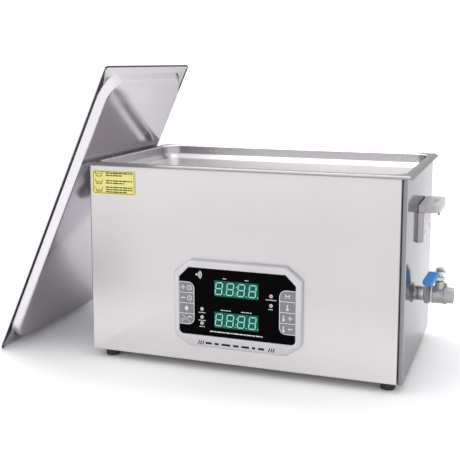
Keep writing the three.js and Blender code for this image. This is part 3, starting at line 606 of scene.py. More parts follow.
def build_tank():
    """The rim and the basin, drawn from one sheet, with the ledge below the mouth and the drain hole."""
    mouth_x, mouth_y, corner = 250, 150, 28
    ledge, drop, depth, floor_round = 9, 8, 16, 12
    floor = RIM_TOP - 200

    def inside(inset, height, margin=0.0):
        """A ring of the basin, inset from the mouth; margin moves it out to the sheet's other face."""
        grow = margin - inset
        return rounded_ring(mouth_x + grow, mouth_y + grow, corner + grow, height)

    def outer(inset, height):
        """A ring of the rim, inset from its outer edge."""
        radius = max(0.6, 2.5 - inset)
        return rounded_ring(RIM_X - inset, RIM_Y - inset, radius, height)

    def floor_arc(margin):
        """Rings of the rounding between the walls and the floor."""
        rows = []
        for i in range(7):
            angle = math.pi / 2 * i / 6
            inset = ledge + floor_round * (1 - math.cos(angle))
            rows.append(inside(inset, floor - margin + floor_round * (1 - math.sin(angle)), margin))
        return rows

    ledge_top = RIM_TOP - depth
    rings = floor_arc(SHEET)[::-1]
    rings += [inside(ledge, ledge_top - drop - 1, SHEET), inside(0, ledge_top - 1, SHEET)]
    rings.append(inside(0, RIM_TOP - SHEET, SHEET))
    lip = [(6.5, SHEET), (1.6, 5), (0.3, 4.9), (0, 4.5), (0.1, 4), (0.5, 3.6)]
    lip += [(4.5, 0.35), (5, 0.1), (5.7, 0)]
    rings += [outer(inset, RIM_TOP - below) for inset, below in lip]
    mouth = [(-2.4, 0), (-1.4, 0.25), (-0.6, 0.85), (-0.15, 1.6), (0, 2.6)]
    rings += [inside(inset, RIM_TOP - below) for inset, below in mouth]
    rings += [inside(0, ledge_top + 1.2), inside(0.3, ledge_top), inside(1.2, ledge_top - 1.4)]
    rings += [inside(ledge - 1.2, ledge_top - drop + 1.2), inside(ledge - 0.3, ledge_top - drop)]
    rings += [inside(ledge, ledge_top - drop - 1.4)]
    rings += floor_arc(0)
    drain_x = node_box("drain_elbow")[0].x + 14
    drain = disc(8, -6, 6, steps=40, about=(drain_x, 0))
    drain.transform(Matrix.Translation((0, 0, floor)))
    shell = carve(loft(rings), drain)
    tank = piece("tank_shell", shell, STEEL_TANK, replaces=["tank"])
    # the basin below the ledge is painted lighter: painted light
    repaint(tank, STEEL_BASIN_PAINTED_LIGHT, lambda centre, normal: centre.z < ledge_top - drop)
    # painted highlight along the ledge, except on the left wall's ledge
    repaint(
        tank, STEEL_PAINTED_HIGHLIGHT,
        lambda centre, normal: ledge_top - drop < centre.z < ledge_top + 0.5 and normal.x < 0.3,
    )
    # painted highlight on the rounded edge of the mouth at the back
    repaint(
        tank, STEEL_PAINTED_HIGHLIGHT,
        lambda centre, normal: centre.z > RIM_TOP - 2 and centre.y > 0 and normal.y < -0.1,
    )
    # painted shade on the front lip and on the flat of the rim at the back
    repaint(tank, STEEL_EDGE_SHADE, lambda centre, normal: centre.y < -RIM_Y + 5 and normal.y < -0.3)
    repaint(tank, STEEL_EDGE_SHADE, lambda centre, normal: centre.y > mouth_y + 2.5 and normal.z > 0.9)

    strainer = turned(
        [(0, 0.3), (6.5, 0.3), (9.5, 0.5), (11.5, 0.9), (12.2, 0.3), (12, 0.05), (0, 0.05)],
        steps=48, about=(drain_x, 0),
    )
    slots = []
    for ring_radius, count in ((3.2, 5), (6.3, 10)):
        for i in range(count):
            angle = 2 * math.pi * i / count
            centre = (drain_x + ring_radius * math.cos(angle), ring_radius * math.sin(angle))
            slots.append(disc(1, -1, 2, steps=12, about=centre))
    strainer = carve(strainer, merged(*slots))
    strainer.transform(Matrix.Translation((0, 0, floor)))
    piece("drain_strainer", strainer, STEEL_WIRE)


# ---------------- housing


def build_housing():
    """The sheet that wraps the left, back and right sides, with a short return at the right front."""
    left_front, radius = node_box("front_panel")[1].y + 0.3, 4.5
    x, y = WALL_X, WALL_Y
    outside = [(RETURN_X, -y, 0), (x, -y, radius), (x, y, radius), (-x, y, radius), (-x, left_front, 0)]
    x, y, radius = x - SHEET, y - SHEET, radius - SHEET
    inside = [(-x, left_front, 0), (-x, y, radius), (x, y, radius), (x, -y, radius), (RETURN_X, -y, 0)]
    plan = rounded(outside) + rounded(inside)
    wrap = prism(plan, WALL_BOTTOM, WALL_TOP)
    tools = [disc(38, -10, 10, on_back, about=back_middle("fan_frame"))]
    for node, length, height in (("power_inlet", 30, 22), ("switch_frame", 21, 29)):
        hole = shifted(rectangle(length, height, 1.5), *back_middle(node))
        tools.append(prism(hole, -10, 10, on_back))
    tools.append(disc(10.9, -60, -20, along_x))
    wrap = carve(wrap, merged(*tools))
    node = "housing_wrap"
    shell = piece("housing_shell", wrap, STEEL_SIDE, replaces=[node], bevel=0.5)
    right_wall = WALL_X - 21
    # the left and back walls take the lighter copy of the housing steel: painted light
    repaint(shell, STEEL_LEFT_PAINTED_LIGHT, lambda centre, normal: normal.x < 0.3 or centre.x < right_wall)
    # painted shade on the return's front face beside the seam
    repaint(shell, STEEL_EDGE_SHADE, lambda centre, normal: normal.y < -0.6 and centre.x > right_wall)


def build_front_panel():
    """The front sheet, folded back on all four sides, with a wider roll at its left and right edges."""
    low, high = node_box("front_panel")

    def ring(inset, roll, depth):
        """An outline inset at the top and bottom, and rolled in at the left and right."""
        x0, x1, z0, z1 = low.x + roll, high.x - roll, low.z + inset, high.z - inset
        outline = rounded([(x1, z0, 1.2), (x1, z1, 1.2), (x0, z1, 1.2), (x0, z0, 1.2)], 4)
        return [on_front(a, b, depth) for a, b in outline]

    profile = [(SHEET, SHEET, -SHEET), (SHEET, SHEET, -10), (0, 0, -10), (0, 0, -4.5), (0, 0.15, -3.3)]
    profile += [(0, 0.63, -2.2), (0.17, 1.34, -1.3), (0.65, 2.3, -0.55), (1.35, 3.47, -0.12), (2.2, 4.6, 0)]
    skin = loft([ring(*row) for row in profile])
    skin = piece("front_skin", skin, STEEL_FRONT, replaces=["front_panel"])
    repaint(skin, STEEL_SHADE, lambda centre, normal: normal.x > 0.5)
    groove = block(high.x + 0.1, WALL_BOTTOM, RETURN_X - 0.1, WALL_TOP)
    seam = prism(groove, -4.2, -3.2, on_front)
    piece("seam_backing", seam, STEEL_SHADE, bevel=0.2)
    dress("base_plate", STEEL_HIDDEN, 0.4)


def build_feet():
    """Black rubber feet, screwed on from below."""
    for depth in ("front", "back"):
        for side in ("left", "right"):
            node = f"foot_{depth}_{side}"
            top = node_box(node)[1].z
            about = node_middle(node)[:2]
            profile = [(0, 4), (4, 4), (4.4, 3.6), (4.5, 0.6), (5, 0), (9.6, 0)]
            profile += arc((9.6, 1.4), 1.4, -90, -8) + [(12.8, top - 1.6)]
            profile += arc((11.9, top - 1), 1, 0, 90) + [(0, top)]
            foot = turned(profile, about=about)
            piece(node + "_rubber", foot, RUBBER, replaces=[node])
            screw("screw_" + node, about, 1.9, lambda a, b, d: (a, b, 4 - d), head=3.4)


def screw(name, about, height, place, head):
    """A small pan-head screw with a crossed recess; depth 0 is the face that it sits on."""
    profile = [(0, 0), (head, 0), (head, height * 0.3)]
    profile += [(head * math.cos(t), height * (0.3 + 0.7 * math.sin(t))) for t in (0.35, 0.7, 1.05, 1.35)]
    profile.append((0, height))
    dome = turned(profile, place, 32, about)
    cross = []
    for wide, tall in ((head * 1.15, head * 0.26), (head * 0.26, head * 1.15)):
        recess = shifted(rectangle(wide, tall, 0.05, 1), *about)
        cross.append(prism(recess, height * 0.35, height + 1, place))
    piece(name, carve(dome, *cross), NICKEL)


# ---------------- control panel

BEZEL_FRONT = 10.0
FILM_FRONT = 8.8
KEY_PITCH, KEY_TOP, KEY_INNER, KEY_OUTER = 17, 34, 71.2, 94.2


def bezel_outline(inset):
    """The bezel's outer edge about the panel's middle, with its four cut corners."""
    x, z = 105 - inset, 70 - inset
    slope = inset * 0.41
    corners = [
        (-x + 25 - slope, -z, 12), (x - 25 + slope, -z, 12),
        (x, -z + 17 - slope, 12), (x, z - 20 + slope, 7),
        (x - 26 + slope, z, 7), (-x + 26 - slope, z, 7),
        (-x, z - 20 + slope, 7), (-x, -z + 17 - slope, 12),
    ]
    return rounded(corners, 6)


def window_outline(margin):
    """The bezel's window, with its two upper corners cut."""
    x, low, high, cut = 95 + margin, -50 - margin, 58 + margin, 16 + 0.59 * margin
    corners = [(-x, low, 7), (x, low, 7), (x, high - cut, 2)]
    corners += [(x - cut, high, 2), (-x + cut, high, 2), (-x, high - cut, 2)]
    return rounded(corners, 6)


def key_outline(row, side, margin):
    """One key about its row's middle; only the first and last have a rounded corner."""
    inner, outer = KEY_INNER - margin, KEY_OUTER + margin
    half = KEY_PITCH / 2 - 0.9 + margin
    top = 9 if row == 0 else 0.6
    bottom = 9 if row == 3 else 0.6
    corners = [(inner, -half, bottom), (outer, -half, 0.4), (outer, half, 0.4), (inner, half, top)]
    if side < 0:
        corners = mirrored(corners)
    return shifted(rounded(corners, 6), 0, KEY_TOP - KEY_PITCH * (row + 0.5))


def column_outline(side, margin):
    """The whole column of keys."""
    inner, outer, half = KEY_INNER - margin, KEY_OUTER + 0.8, 2 * KEY_PITCH - 0.9 + margin
    radius = 9 + margin
    corners = [(inner, -half, radius), (outer, -half, 0.2), (outer, half, 0.2), (inner, half, radius)]
    if side < 0:
        corners = mirrored(corners)
    return shifted(rounded(corners, 8), 0, KEY_TOP - 2 * KEY_PITCH)


def build_bezel():
    """The silver frame: a rounded outer edge, a flat face and a fillet down to the window."""
    outer = [(0, 0.3), (0, 5), (0.35, 6.8), (1.3, 8.4), (2.8, 9.5), (4.6, BEZEL_FRONT)]
    shell = loft([[on_panel(a, b, depth) for a, b in bezel_outline(inset)] for inset, depth in outer])
    inner = [(0.3, -2), (0.3, 8.9), (0.55, 9.35), (1.0, 9.8), (1.6, 10.4)]
    window = loft([[on_panel(a, b, depth) for a, b in window_outline(margin)] for margin, depth in inner])
    bezel = carve(shell, window)
    piece("panel_bezel", bezel, SILVER, replaces=["control_bezel"], bevel=0.2)


LED_LEFT = [(-56.7, z) for z in (-7.5, -20.5, -30.5)]
LED_RIGHT = [(56.5, z) for z in (23.4, 8.4)]
SCREENS = [28.0, -22.5]
SCREEN_LENGTH, SCREEN_HEIGHT = 72.5, 25.5


def build_overlay():
    """The glossy black film with its holes for keys, lenses and displays, and its white print."""
    film = prism(window_outline(0), 6.8, FILM_FRONT, on_panel)
    holes = [prism(key_outline(row, side, 0.3), 5, 12, on_panel) for side in (-1, 1) for row in range(4)]
    holes += [disc(2.5, 5, 12, on_panel, 32, centre) for centre in LED_LEFT + LED_RIGHT]
    for z in SCREENS:
        hole = shifted(rectangle(SCREEN_LENGTH + 0.6, SCREEN_HEIGHT + 0.6, 0.5, 2), 0, z)
        holes.append(prism(hole, 5, 12, on_panel))
    film = carve(film, merged(*holes))
    piece("panel_film", film, FILM_BLACK, replaces=["control_overlay"], bevel=0.12)

    for name, side in (("left", -1), ("right", 1)):
        frame_print = prism(column_outline(side, 1.5), FILM_FRONT + 0.01, FILM_FRONT + 0.16, on_panel)
        keys = [prism(key_outline(row, side, 0.3), 5, 12, on_panel) for row in range(4)]
        piece(f"key_border_{name}", carve(frame_print, merged(*keys)), PRINT_LIGHT)

    low, high = FILM_FRONT + 0.01, FILM_FRONT + 0.12
    prints = [tube(2.55, 2.9, low, high, on_panel, 40, centre) for centre in LED_LEFT + LED_RIGHT]
    captions = [(-56.7, -13.2, 11), (-56.7, -25.9, 12), (-56.7, -35.9, 9), (56.5, 17.4, 17), (56.5, 2.6, 8)]
    captions += [(-19, 44.4, 6), (17, 44.4, 6), (-17, -6.4, 17), (17, -6.4, 17)]
    for x, z, length in captions:
        prints.append(words((x - length / 2, z), length, 1.5, on_panel, FILM_FRONT))
    prints.append(words((-43.5, -42.2), 87, 2.3, on_panel, FILM_FRONT))
    prints.append(wave_mark((-66, 47.5)))
    piece("film_print", merged(*prints), PRINT_LIGHT)


WORD_LENGTHS = (3.1, 1.9, 4.3, 2.6, 3.6, 1.4, 4.9)


def words(start, length, height, place, base):
    """A row of short bars that stands for a line of small print, without any lettering."""
    bars = []
    x, i = start[0], 0
    end = start[0] + length
    while x < end - 0.5:
        bar = min(WORD_LENGTHS[i % len(WORD_LENGTHS)] * max(1, height / 1.2), end - x)
        line = [(x, start[1]), (x + bar, start[1])]
        bars.append(stroke(line, height * 0.7, base + 0.01, base + 0.1, place))
        x += bar + 0.45 * height
        i += 1
    return merged(*bars)


def wave_mark(centre):
    """Three nested arcs of sound with a drop-shaped dot, a generic mark at the film's top left."""
    low, high = FILM_FRONT + 0.01, FILM_FRONT + 0.12
    parts = [disc(1.5, low, high, on_panel, 24, centre)]
    for radius in (3.6, 6.0, 8.4):
        parts.append(stroke(arc(centre, radius, -48, 48, 14), 1.3, low, high, on_panel))
    return merged(*parts)


def build_keys():
    """Eight caps, each with its own icon."""
    icons = {
        ("left", 0): plus_mark(-6) + clock_mark(5),
        ("left", 1): minus_mark(-6) + clock_mark(5),
        ("left", 2): diamond_mark(0),
        ("left", 3): slash_mark(),
        ("right", 0): hourglass_mark(0),
        ("right", 1): thermometer_mark(0),
        ("right", 2): thermometer_mark(-6) + plus_mark(4.5),
        ("right", 3): thermometer_mark(-6) + minus_mark(4.5),
    }
    for (name, row), strokes in icons.items():
        side = -1 if name == "left" else 1
        node, body = f"key_{name}_{row + 1}", f"{name}_key_{row + 1}"
        outline = key_outline(row, side, 0)
        cap = prism(outline, 6.3, 9.3, on_panel)
        piece(f"{node}_cap", cap, FILM_GREY, body, [node], bevel=0.35)
        middle = (side * (KEY_INNER + KEY_OUTER) / 2, KEY_TOP - KEY_PITCH * (row + 0.5))
        marks = [
            stroke(shifted(points, *middle), width, 9.305, 9.38, on_panel, closed)
            for points, width, closed in strokes
        ]
        piece(f"{node}_icon", merged(*marks), PRINT_LIGHT, body)


def plus_mark(x):
    return [([(x - 3.5, 0), (x + 3.5, 0)], 1.5, False), ([(x, -3.5), (x, 3.5)], 1.5, False)]


def minus_mark(x):
    return [([(x - 3.5, 0), (x + 3.5, 0)], 1.6, False)]


def clock_mark(x):
    hands = [([(x, 2), (x, 0), (x + 1.4, -1.4)], 0.7, False)]
    return [(circle(3.7, 28, (x, 0)), 1.0, True)] + hands


def diamond_mark(x):
    return [([(x, -2.2), (x + 1.7, 0), (x, 2.2), (x - 1.7, 0)], 3.0, True)]


def slash_mark():
    return [
        ([(-7, 6), (7, -6)], 0.7, False), (arc((-5.5, -3), 2.6, 20, 250, 10), 0.9, False),
        (arc((5.5, 1.5), 2.6, 10, 170, 10), 1.5, False),
    ]


def hourglass_mark(x):
    return [([(x - 3, -3.2), (x - 3, 3.2)], 1.2, False), ([(x + 3, -3.2), (x + 3, 3.2)], 1.2, False),
            ([(x - 3, 1.6), (x, -0.4), (x + 3, 1.6)], 1.2, False)]


def thermometer_mark(x):
    return [([(x, -2), (x, 4)], 1.7, False), (circle(1.2, 20, (x, -3)), 1.9, True)]


def build_displays():
    """Two displays with four slanted digits, decimal points and a colon each."""
    digit_places = (-27.2, -8.8, 9.4, 27.8)
    for name, z in (("upper", SCREENS[0]), ("lower", SCREENS[1])):
        node = f"display_{name}"
        outline = shifted(rectangle(SCREEN_LENGTH, SCREEN_HEIGHT, 0.6, 3), 0, z)
        window = prism(outline, 3.5, 8.6, on_panel)
        piece(node + "_filter", window, DISPLAY, replaces=[node], bevel=0.3)
        segments = []
        for x in digit_places:
            segments += digit(x - 1.2, z)
            segments.append(dot(x + 7.6, z - 9.2))
        segments += [dot(0.9, z + 4.4), dot(-0.3, z - 4.6)]
        piece(node + "_digits", merged(*segments), SEGMENTS)


def dot(x, z):
    return disc(0.85, 8.605, 8.68, on_panel, 20, (x, z))


def digit(x, z):
    """The seven slanted bars of one digit."""
    half_width, half_height, slant, gap, width = 5.3, 9.4, 0.11, 0.5, 1.6
    made = []
    bars = [((-1, 1), (1, 1)), ((-1, 0), (1, 0)), ((-1, -1), (1, -1))]
    bars += [((side, 0), (side, up)) for side in (-1, 1) for up in (-1, 1)]
    for start, end in bars:
        first = Vector((start[0] * half_width, start[1] * half_height))
        last = Vector((end[0] * half_width, end[1] * half_height))
        along = (last - first).normalized()
        across = Vector((-along.y, along.x)) * width / 2
        tip = along * (gap + width / 2)
        corners = [first + along * gap, first + tip - across, last - tip - across, last - along * gap,
                   last - tip + across, first + tip + across]
        outline = [(x + p.x + slant * p.y, z + p.y) for p in corners]
        made.append(prism(outline, 8.605, 8.68, on_panel))
    return made


def build_lenses():
    """Light guides with a dark die showing in the middle of each lens."""
    for name, places in (("left", LED_LEFT), ("right", LED_RIGHT)):
        lenses, dies = [], []
        for centre in places:
            profile = [(0, 4), (2.2, 4), (2.2, 8.6), (2.1, 8.8), (1.8, 8.9), (0, 8.9)]
            lenses.append(turned(profile, on_panel, 32, centre))
            dies.append(disc(0.95, 8.905, 8.94, on_panel, 24, centre))
        piece(f"lens_{name}", merged(*lenses), LENS, replaces=[f"light_guide_{name}"])
        piece(f"lens_die_{name}", merged(*dies), PRINT_DARK)


def build_bezel_print():
    """Three slanted strokes at each end of the bezel's lower face, and plain bars between them."""
    low, high = BEZEL_FRONT - 0.3, BEZEL_FRONT + 0.08
    marks = []
    for middle in (-58, 58):
        for i in (-1, 0, 1):
            x = middle + 3.6 * i
            marks.append(stroke([(x - 1.2, -64.8), (x + 1.2, -58.6)], 1.6, low, high, on_panel))
    x = -50.5
    for bar in (13, 9.5, 17, 11.5, 15, 8, 12.2):
        marks.append(stroke([(x, -61.7), (x + bar - 2.6, -61.7)], 3.4, low, high, on_panel))
        x += bar + 2.2
    piece("bezel_print", merged(*marks), PRINT_DARK)


def build_notice():
    """A yellow sticker with a rounded border, three simple vessel pictograms and plain bars."""
    low, high = node_box("notice_label")
    middle = ((low.x + high.x) / 2, (low.z + high.z) / 2)
    length, height = high.x - low.x, high.z - low.z
    sheet = prism(shifted(rectangle(length, height, 2.5, 6), *middle), 0.3, 0.72, on_front)
    piece("notice_sheet", sheet, VINYL_YELLOW, replaces=["notice_label"], bevel=0.12)

    border = shifted(rectangle(length - 4.4, height - 4.4, 3.2, 6), *middle)
    marks = [stroke(border, 0.8, 0.73, 0.79, on_front, closed=True)]
    for row, lines in enumerate((2, 2, 3)):
        z = middle[1] + 13.4 - 12.4 * row
        x = low.x + 12.2
        vessel = [(x - 6.6, z + 3.6), (x - 4.2, z - 3.6), (x + 4.2, z - 3.6), (x + 6.6, z + 3.6)]
        marks.append(stroke(vessel, 1.0, 0.73, 0.79, on_front))
        level = []
        for i in range(9):
            wave = 0.4 * math.sin(4 * (math.pi * i / 8))
            level.append((x - 3.8 + 7.6 * i / 8, z + wave + 0.6 - row * 1.1))
        marks.append(stroke(level, 0.8, 0.73, 0.79, on_front))
        for line in range(lines):
            line_z = z + 1.9 * (lines - 1) - 3.8 * line
            span = length - 30 if line < lines - 1 else length - 48 + 4 * row
            marks.append(words((low.x + 24.5, line_z), span, 2.6, on_front, 0.72))
    piece("notice_print", merged(*marks), PRINT_DARK)


# ---------------- folding handles

HANDLE_Y = node_middle("handle_base_right")[1]
PIN_OUT, PIN_Z = 11.1, node_middle("handle_pin_right")[2]
GRIP_TOP = node_box("handle_grip_right")[1].z
GRIP_HEIGHT, GRIP_REACH, GRIP_HALF = 13, 33.5, 47.5


def handle_place(side, folded=False):
    """Carries (out from the wall, along the wall, up) to body millimetres; folded turns it down."""

    def place(out, along, up):
        if folded:
            out, up = PIN_OUT + (up - PIN_Z), PIN_Z - (out - PIN_OUT)
        return (side * (WALL_X + out), HANDLE_Y + side * along, up)

    return place


def build_handle(name, side, folded):
    """The plate on the wall with its two hinge eyes and screws, the grip and the pin."""
    fixed = handle_place(side)
    bottom, top = node_box("handle_base_right")[0].z, GRIP_TOP - GRIP_HEIGHT - 0.3
    front = 9.3

    def on_wall(a, b, depth):
        return fixed(depth, a, b)

    def along_pin(a, b, depth):
        return fixed(a, depth, b)

    def wall_plate(half, low, radius, start, end):
        corners = [(-half, low, radius), (half, low, radius), (half, top, 0.5), (-half, top, 0.5)]
        return prism(rounded(corners, 8), start, end, on_wall)

    base = wall_plate(GRIP_HALF, bottom, 8, 0.3, 4.6)
    base = fuse(base, wall_plate(GRIP_HALF - 1.1, bottom + 1.1, 7, 4, front))
    for y in (-30, 30):
        eye = prism(circle(2.7, 32, (PIN_OUT, PIN_Z)), y - 6, y + 6, along_pin)
        arm = prism(block(PIN_OUT - 6, PIN_Z - 2.7, PIN_OUT, PIN_Z + 2.7), y - 6, y + 6, along_pin)
        base = fuse(base, eye, arm)
    pin_hole = prism(circle(1.55, 24, (PIN_OUT, PIN_Z)), -60, 60, along_pin)
    nub_rest = prism(circle(2.4, 20, (-41, PIN_Z - 20)), 5, 12, on_wall)
    base = carve(base, pin_hole, nub_rest)
    node = f"handle_base_{name}"
    plate = piece(
        node + "_plate", base, GREY_PLASTIC, replaces=[node], bevel=0.8, steps=3,
    )
    # the plate's outer face takes the lighter copy of the grey plastic: painted light
    repaint(plate, GREY_PLASTIC_PAINTED_LIGHT, lambda centre, normal: side * normal.x > 0.9)
    for i, y in enumerate((-32, 32)):
        centre = (y, bottom + 17)
        screw(f"screw_handle_{name}_{i + 1}", centre, 1.5, lambda a, b, d: on_wall(a, b, front + d), 3.2)

    build_grip(name, handle_place(side, folded))
    dress(f"handle_pin_{name}", NICKEL, 0.2)


def build_grip(name, place):
    """The hollow grip with its parting line, three short ribs drawn darker as painted shade, and a rubber
    stop under its near corner.
    """

    def ring(inset, up):
        near, far, half, radius = 0.5 + inset, GRIP_REACH - inset, GRIP_HALF - inset, max(1.0, 10 - inset)
        corners = [(near, -half, 0.5), (far, -half, radius), (far, half, radius), (near, half, 0.5)]
        return [place(a, b, up) for a, b in rounded(corners, 8)]

    def along_pin(a, b, depth):
        return place(a, depth, b)

    low = GRIP_TOP - GRIP_HEIGHT
    profile = [(3, GRIP_TOP - 3), (3, low), (0.6, low), (0.15, low + 0.2), (0, low + 0.7)]
    profile += [(0, GRIP_TOP - 2.4), (0.2, GRIP_TOP - 1.3), (0.8, GRIP_TOP - 0.5), (1.8, GRIP_TOP)]
    grip = loft([ring(inset, up) for inset, up in profile])
    left, right, half, groove = PIN_OUT - 0.3, PIN_OUT + 0.3, GRIP_HALF, 0.7
    line_on_top = block(left, GRIP_TOP - groove, right, GRIP_TOP + 1)
    line_on_end = block(left, low - 1, right, GRIP_TOP + 1)
    cuts = [
        prism(line_on_top, -half - 1, half + 1, along_pin),
        prism(line_on_end, -half - 1, -half + groove, along_pin),
        prism(line_on_end, half - groove, half + 1, along_pin),
        prism(circle(1.55, 24, (PIN_OUT, PIN_Z)), -half + 1.5, half - 1.5, along_pin),
    ]
    grip = carve(grip, *cuts)
    body = f"{name}_grip"
    node = f"handle_grip_{name}"
    piece(node + "_tray", grip, GREY_PLASTIC, body, [node], bevel=0.15)

    # the ribs take the darker grey of the key caps: painted shade along them
    ribs = []
    for out in (20, 22.8, 25.6):
        ribs.append(stroke([(out, -18), (out, 18)], 1.3, GRIP_TOP - 0.5, GRIP_TOP + 0.15, place))
    piece(f"grip_ribs_{name}", merged(*ribs), FILM_GREY, body, bevel=0.1)

    profile = [(0, -3.4), (0.8, -3.3), (1.25, -2.8), (1.5, 0.4), (0, 0.4)]
    stop = turned(profile, lambda a, b, d: place(a, b, low + d), 20, (GRIP_REACH - 2.4, -41))
    piece(f"grip_stop_{name}", stop, RUBBER, body)


# ---------------- drain valve


def hexagon(across):
    """A hexagon by its width across the flats."""
    radius = across / math.sqrt(3)
    angles = [math.pi / 3 * i for i in range(6)]
    return [(radius * math.cos(a), radius * math.sin(a)) for a in angles]


def hex_nut(across, low, high, place, hole, chamfer):
    """A hexagon crossed with a chamfered disc, so that its corners are rounded off at both ends."""
    corner = across / math.sqrt(3)
    profile = [(0, low), (corner - chamfer * 1.6, low), (corner + 0.05, low + chamfer)]
    profile += [(corner + 0.05, high - chamfer), (corner - chamfer * 1.6, high), (0, high)]
    nut = combined(prism(hexagon(across), low, high, place), turned(profile, place), "INTERSECT")
    return carve(nut, disc(hole, low - 5, high + 5, place, 40))


def thread(radius, start, end, pitch=1.4, depth=0.5):
    """Profile points of a row of thread crests, as rings."""
    points = []
    depth_at = start
    while depth_at < end - pitch:
        points += [(radius - depth, depth_at), (radius, depth_at + pitch * 0.35)]
        points += [(radius, depth_at + pitch * 0.55)]
        depth_at += pitch
    return points + [(radius - depth, depth_at)]


def build_valve():
    """The nipple through the wall with its thread, the end cap on it, and the valve."""
    start, shoulder, end = 244.3 - STEM_X, 257.3 - STEM_X, 272 - STEM_X
    profile = [(8, start), (10.3, start)] + thread(10.3, 245 - STEM_X, shoulder)
    profile += [(10.3, shoulder), (11.4, shoulder)] + arc((11.2, shoulder + 0.5), 0.5, -90, 0, 4)
    profile += arc((11.2, 266 - STEM_X), 0.5, 0, 90, 4) + [(9.9, 266.6 - STEM_X), (9.6, 267.4 - STEM_X)]
    profile += [(9.9, 268.4 - STEM_X), (9.9, end), (8, end)]
    nipple = turned(profile + [profile[0]], along_x)
    piece("drain_nipple_turned", nipple, NICKEL, replaces=["drain_nipple"])

    cap = hex_nut(29, 267 - STEM_X, 276 - STEM_X, along_x, 10.2, 1.4)
    cap = merged(cap, tube(6.5, 9.2, -16, -12.5, along_x))
    node = "valve_end_cap"
    piece("valve_cap_hex", cap, NICKEL_CAST, replaces=[node], bevel=0.25)

    build_valve_body()
    for node in ("valve_seat_outlet", "valve_seat_inlet"):
        dress(node, PTFE, 0.2)
    for node in ("drain_elbow", "drain_locknut", "temperature_sensor"):
        dress(node, NICKEL, 0.3)


def build_valve_body():
    """Cast body with a bright ring at its joint, a neck for the stem and a turned outlet."""
    outer = [(13.2, -14.7), (13.4, -13.4), (12.8, -12.6), (12.8, -11.6)] + arc((13.4, -10.6), 1, -90, 0, 4)
    outer += [(14.4, -8), (14.2, -4), (14.1, 0), (14.2, 4), (14.4, 7)]
    outer += [(15, 7.8), (15, 11.4), (14.6, 12), (13, 12.3), (12.8, 20.6)] + arc((11.8, 21.4), 1, 0, 90, 5)
    bore = [(9.4, 22.4), (8.6, 21.6)] + [(r, d) for r, d in reversed(thread(8.6, 9.5, 21.4, 1.4, -0.45))]
    bore += [(8, 9), (8, 8.5), (9.5, 8.5), (9.5, -14.7)]
    shell = turned(outer + bore + [outer[0]], along_x, 72)
    neck = turned(
        [(4.3, 11), (8.8, 11), (8.4, 15), (8, 18.5), (7.8, 20)] + arc((4.8, 20.2), 3, 0, 75, 6)
        + [(4.3, 23.6), (4.3, 11)],
        on_stem, 48,
    )
    room = disc(9.45, -14.6, 8.4, along_x, 48)
    lug = turned([(0, 11), (2.3, 11), (2.2, 19), (1.9, 19.6), (0, 19.6)], on_stem, 24, (9.8, 0))
    stem_hole = disc(4.2, 4, 30, on_stem, 40)
    body = carve(fuse(shell, neck, lug), room, stem_hole)
    piece("valve_body_cast", body, NICKEL_CAST, replaces=["valve_body"], bevel=0.25)
    ring = turned([(12.9, -13), (15.2, -12.9), (15.2, -11.3), (12.9, -11.2), (12.9, -13)], along_x)
    piece("valve_joint_ring", ring, PTFE, bevel=0.3)
    packing = hex_nut(13.5, 24, 29.5, on_stem, 4.5, 0.7)
    washer = turned([(4.5, 29.8), (6.6, 29.8), (6.6, 30.5), (4.5, 30.9), (4.5, 29.8)], on_stem, 40)
    piece("packing_nut", merged(packing, washer), NICKEL, bevel=0.2)


LEVER_BOTTOM, LEVER_THICK, LEVER_BEND, LEVER_TIP, LEVER_DROP = 37, 3, 24, 46, 10.5
LEVER_TURN = math.radians(-19)


def lever_section(out, margin, half, radius):
    """A cross-section of the cranked lever at a distance from the stem, as a rounded rectangle."""
    low = LEVER_BOTTOM - margin
    high = LEVER_BOTTOM + LEVER_THICK + margin
    slope = LEVER_DROP / (LEVER_TIP - LEVER_BEND)
    fall = slope * max(0.0, out - LEVER_BEND)
    middle = (low + high) / 2 - fall
    section = []
    for a, b in rectangle(2 * half, high - low, radius, 5):
        spun = Matrix.Rotation(LEVER_TURN, 2) @ Vector((a, -out))
        section.append(on_stem(spun.x, spun.y, middle + b))
    return section


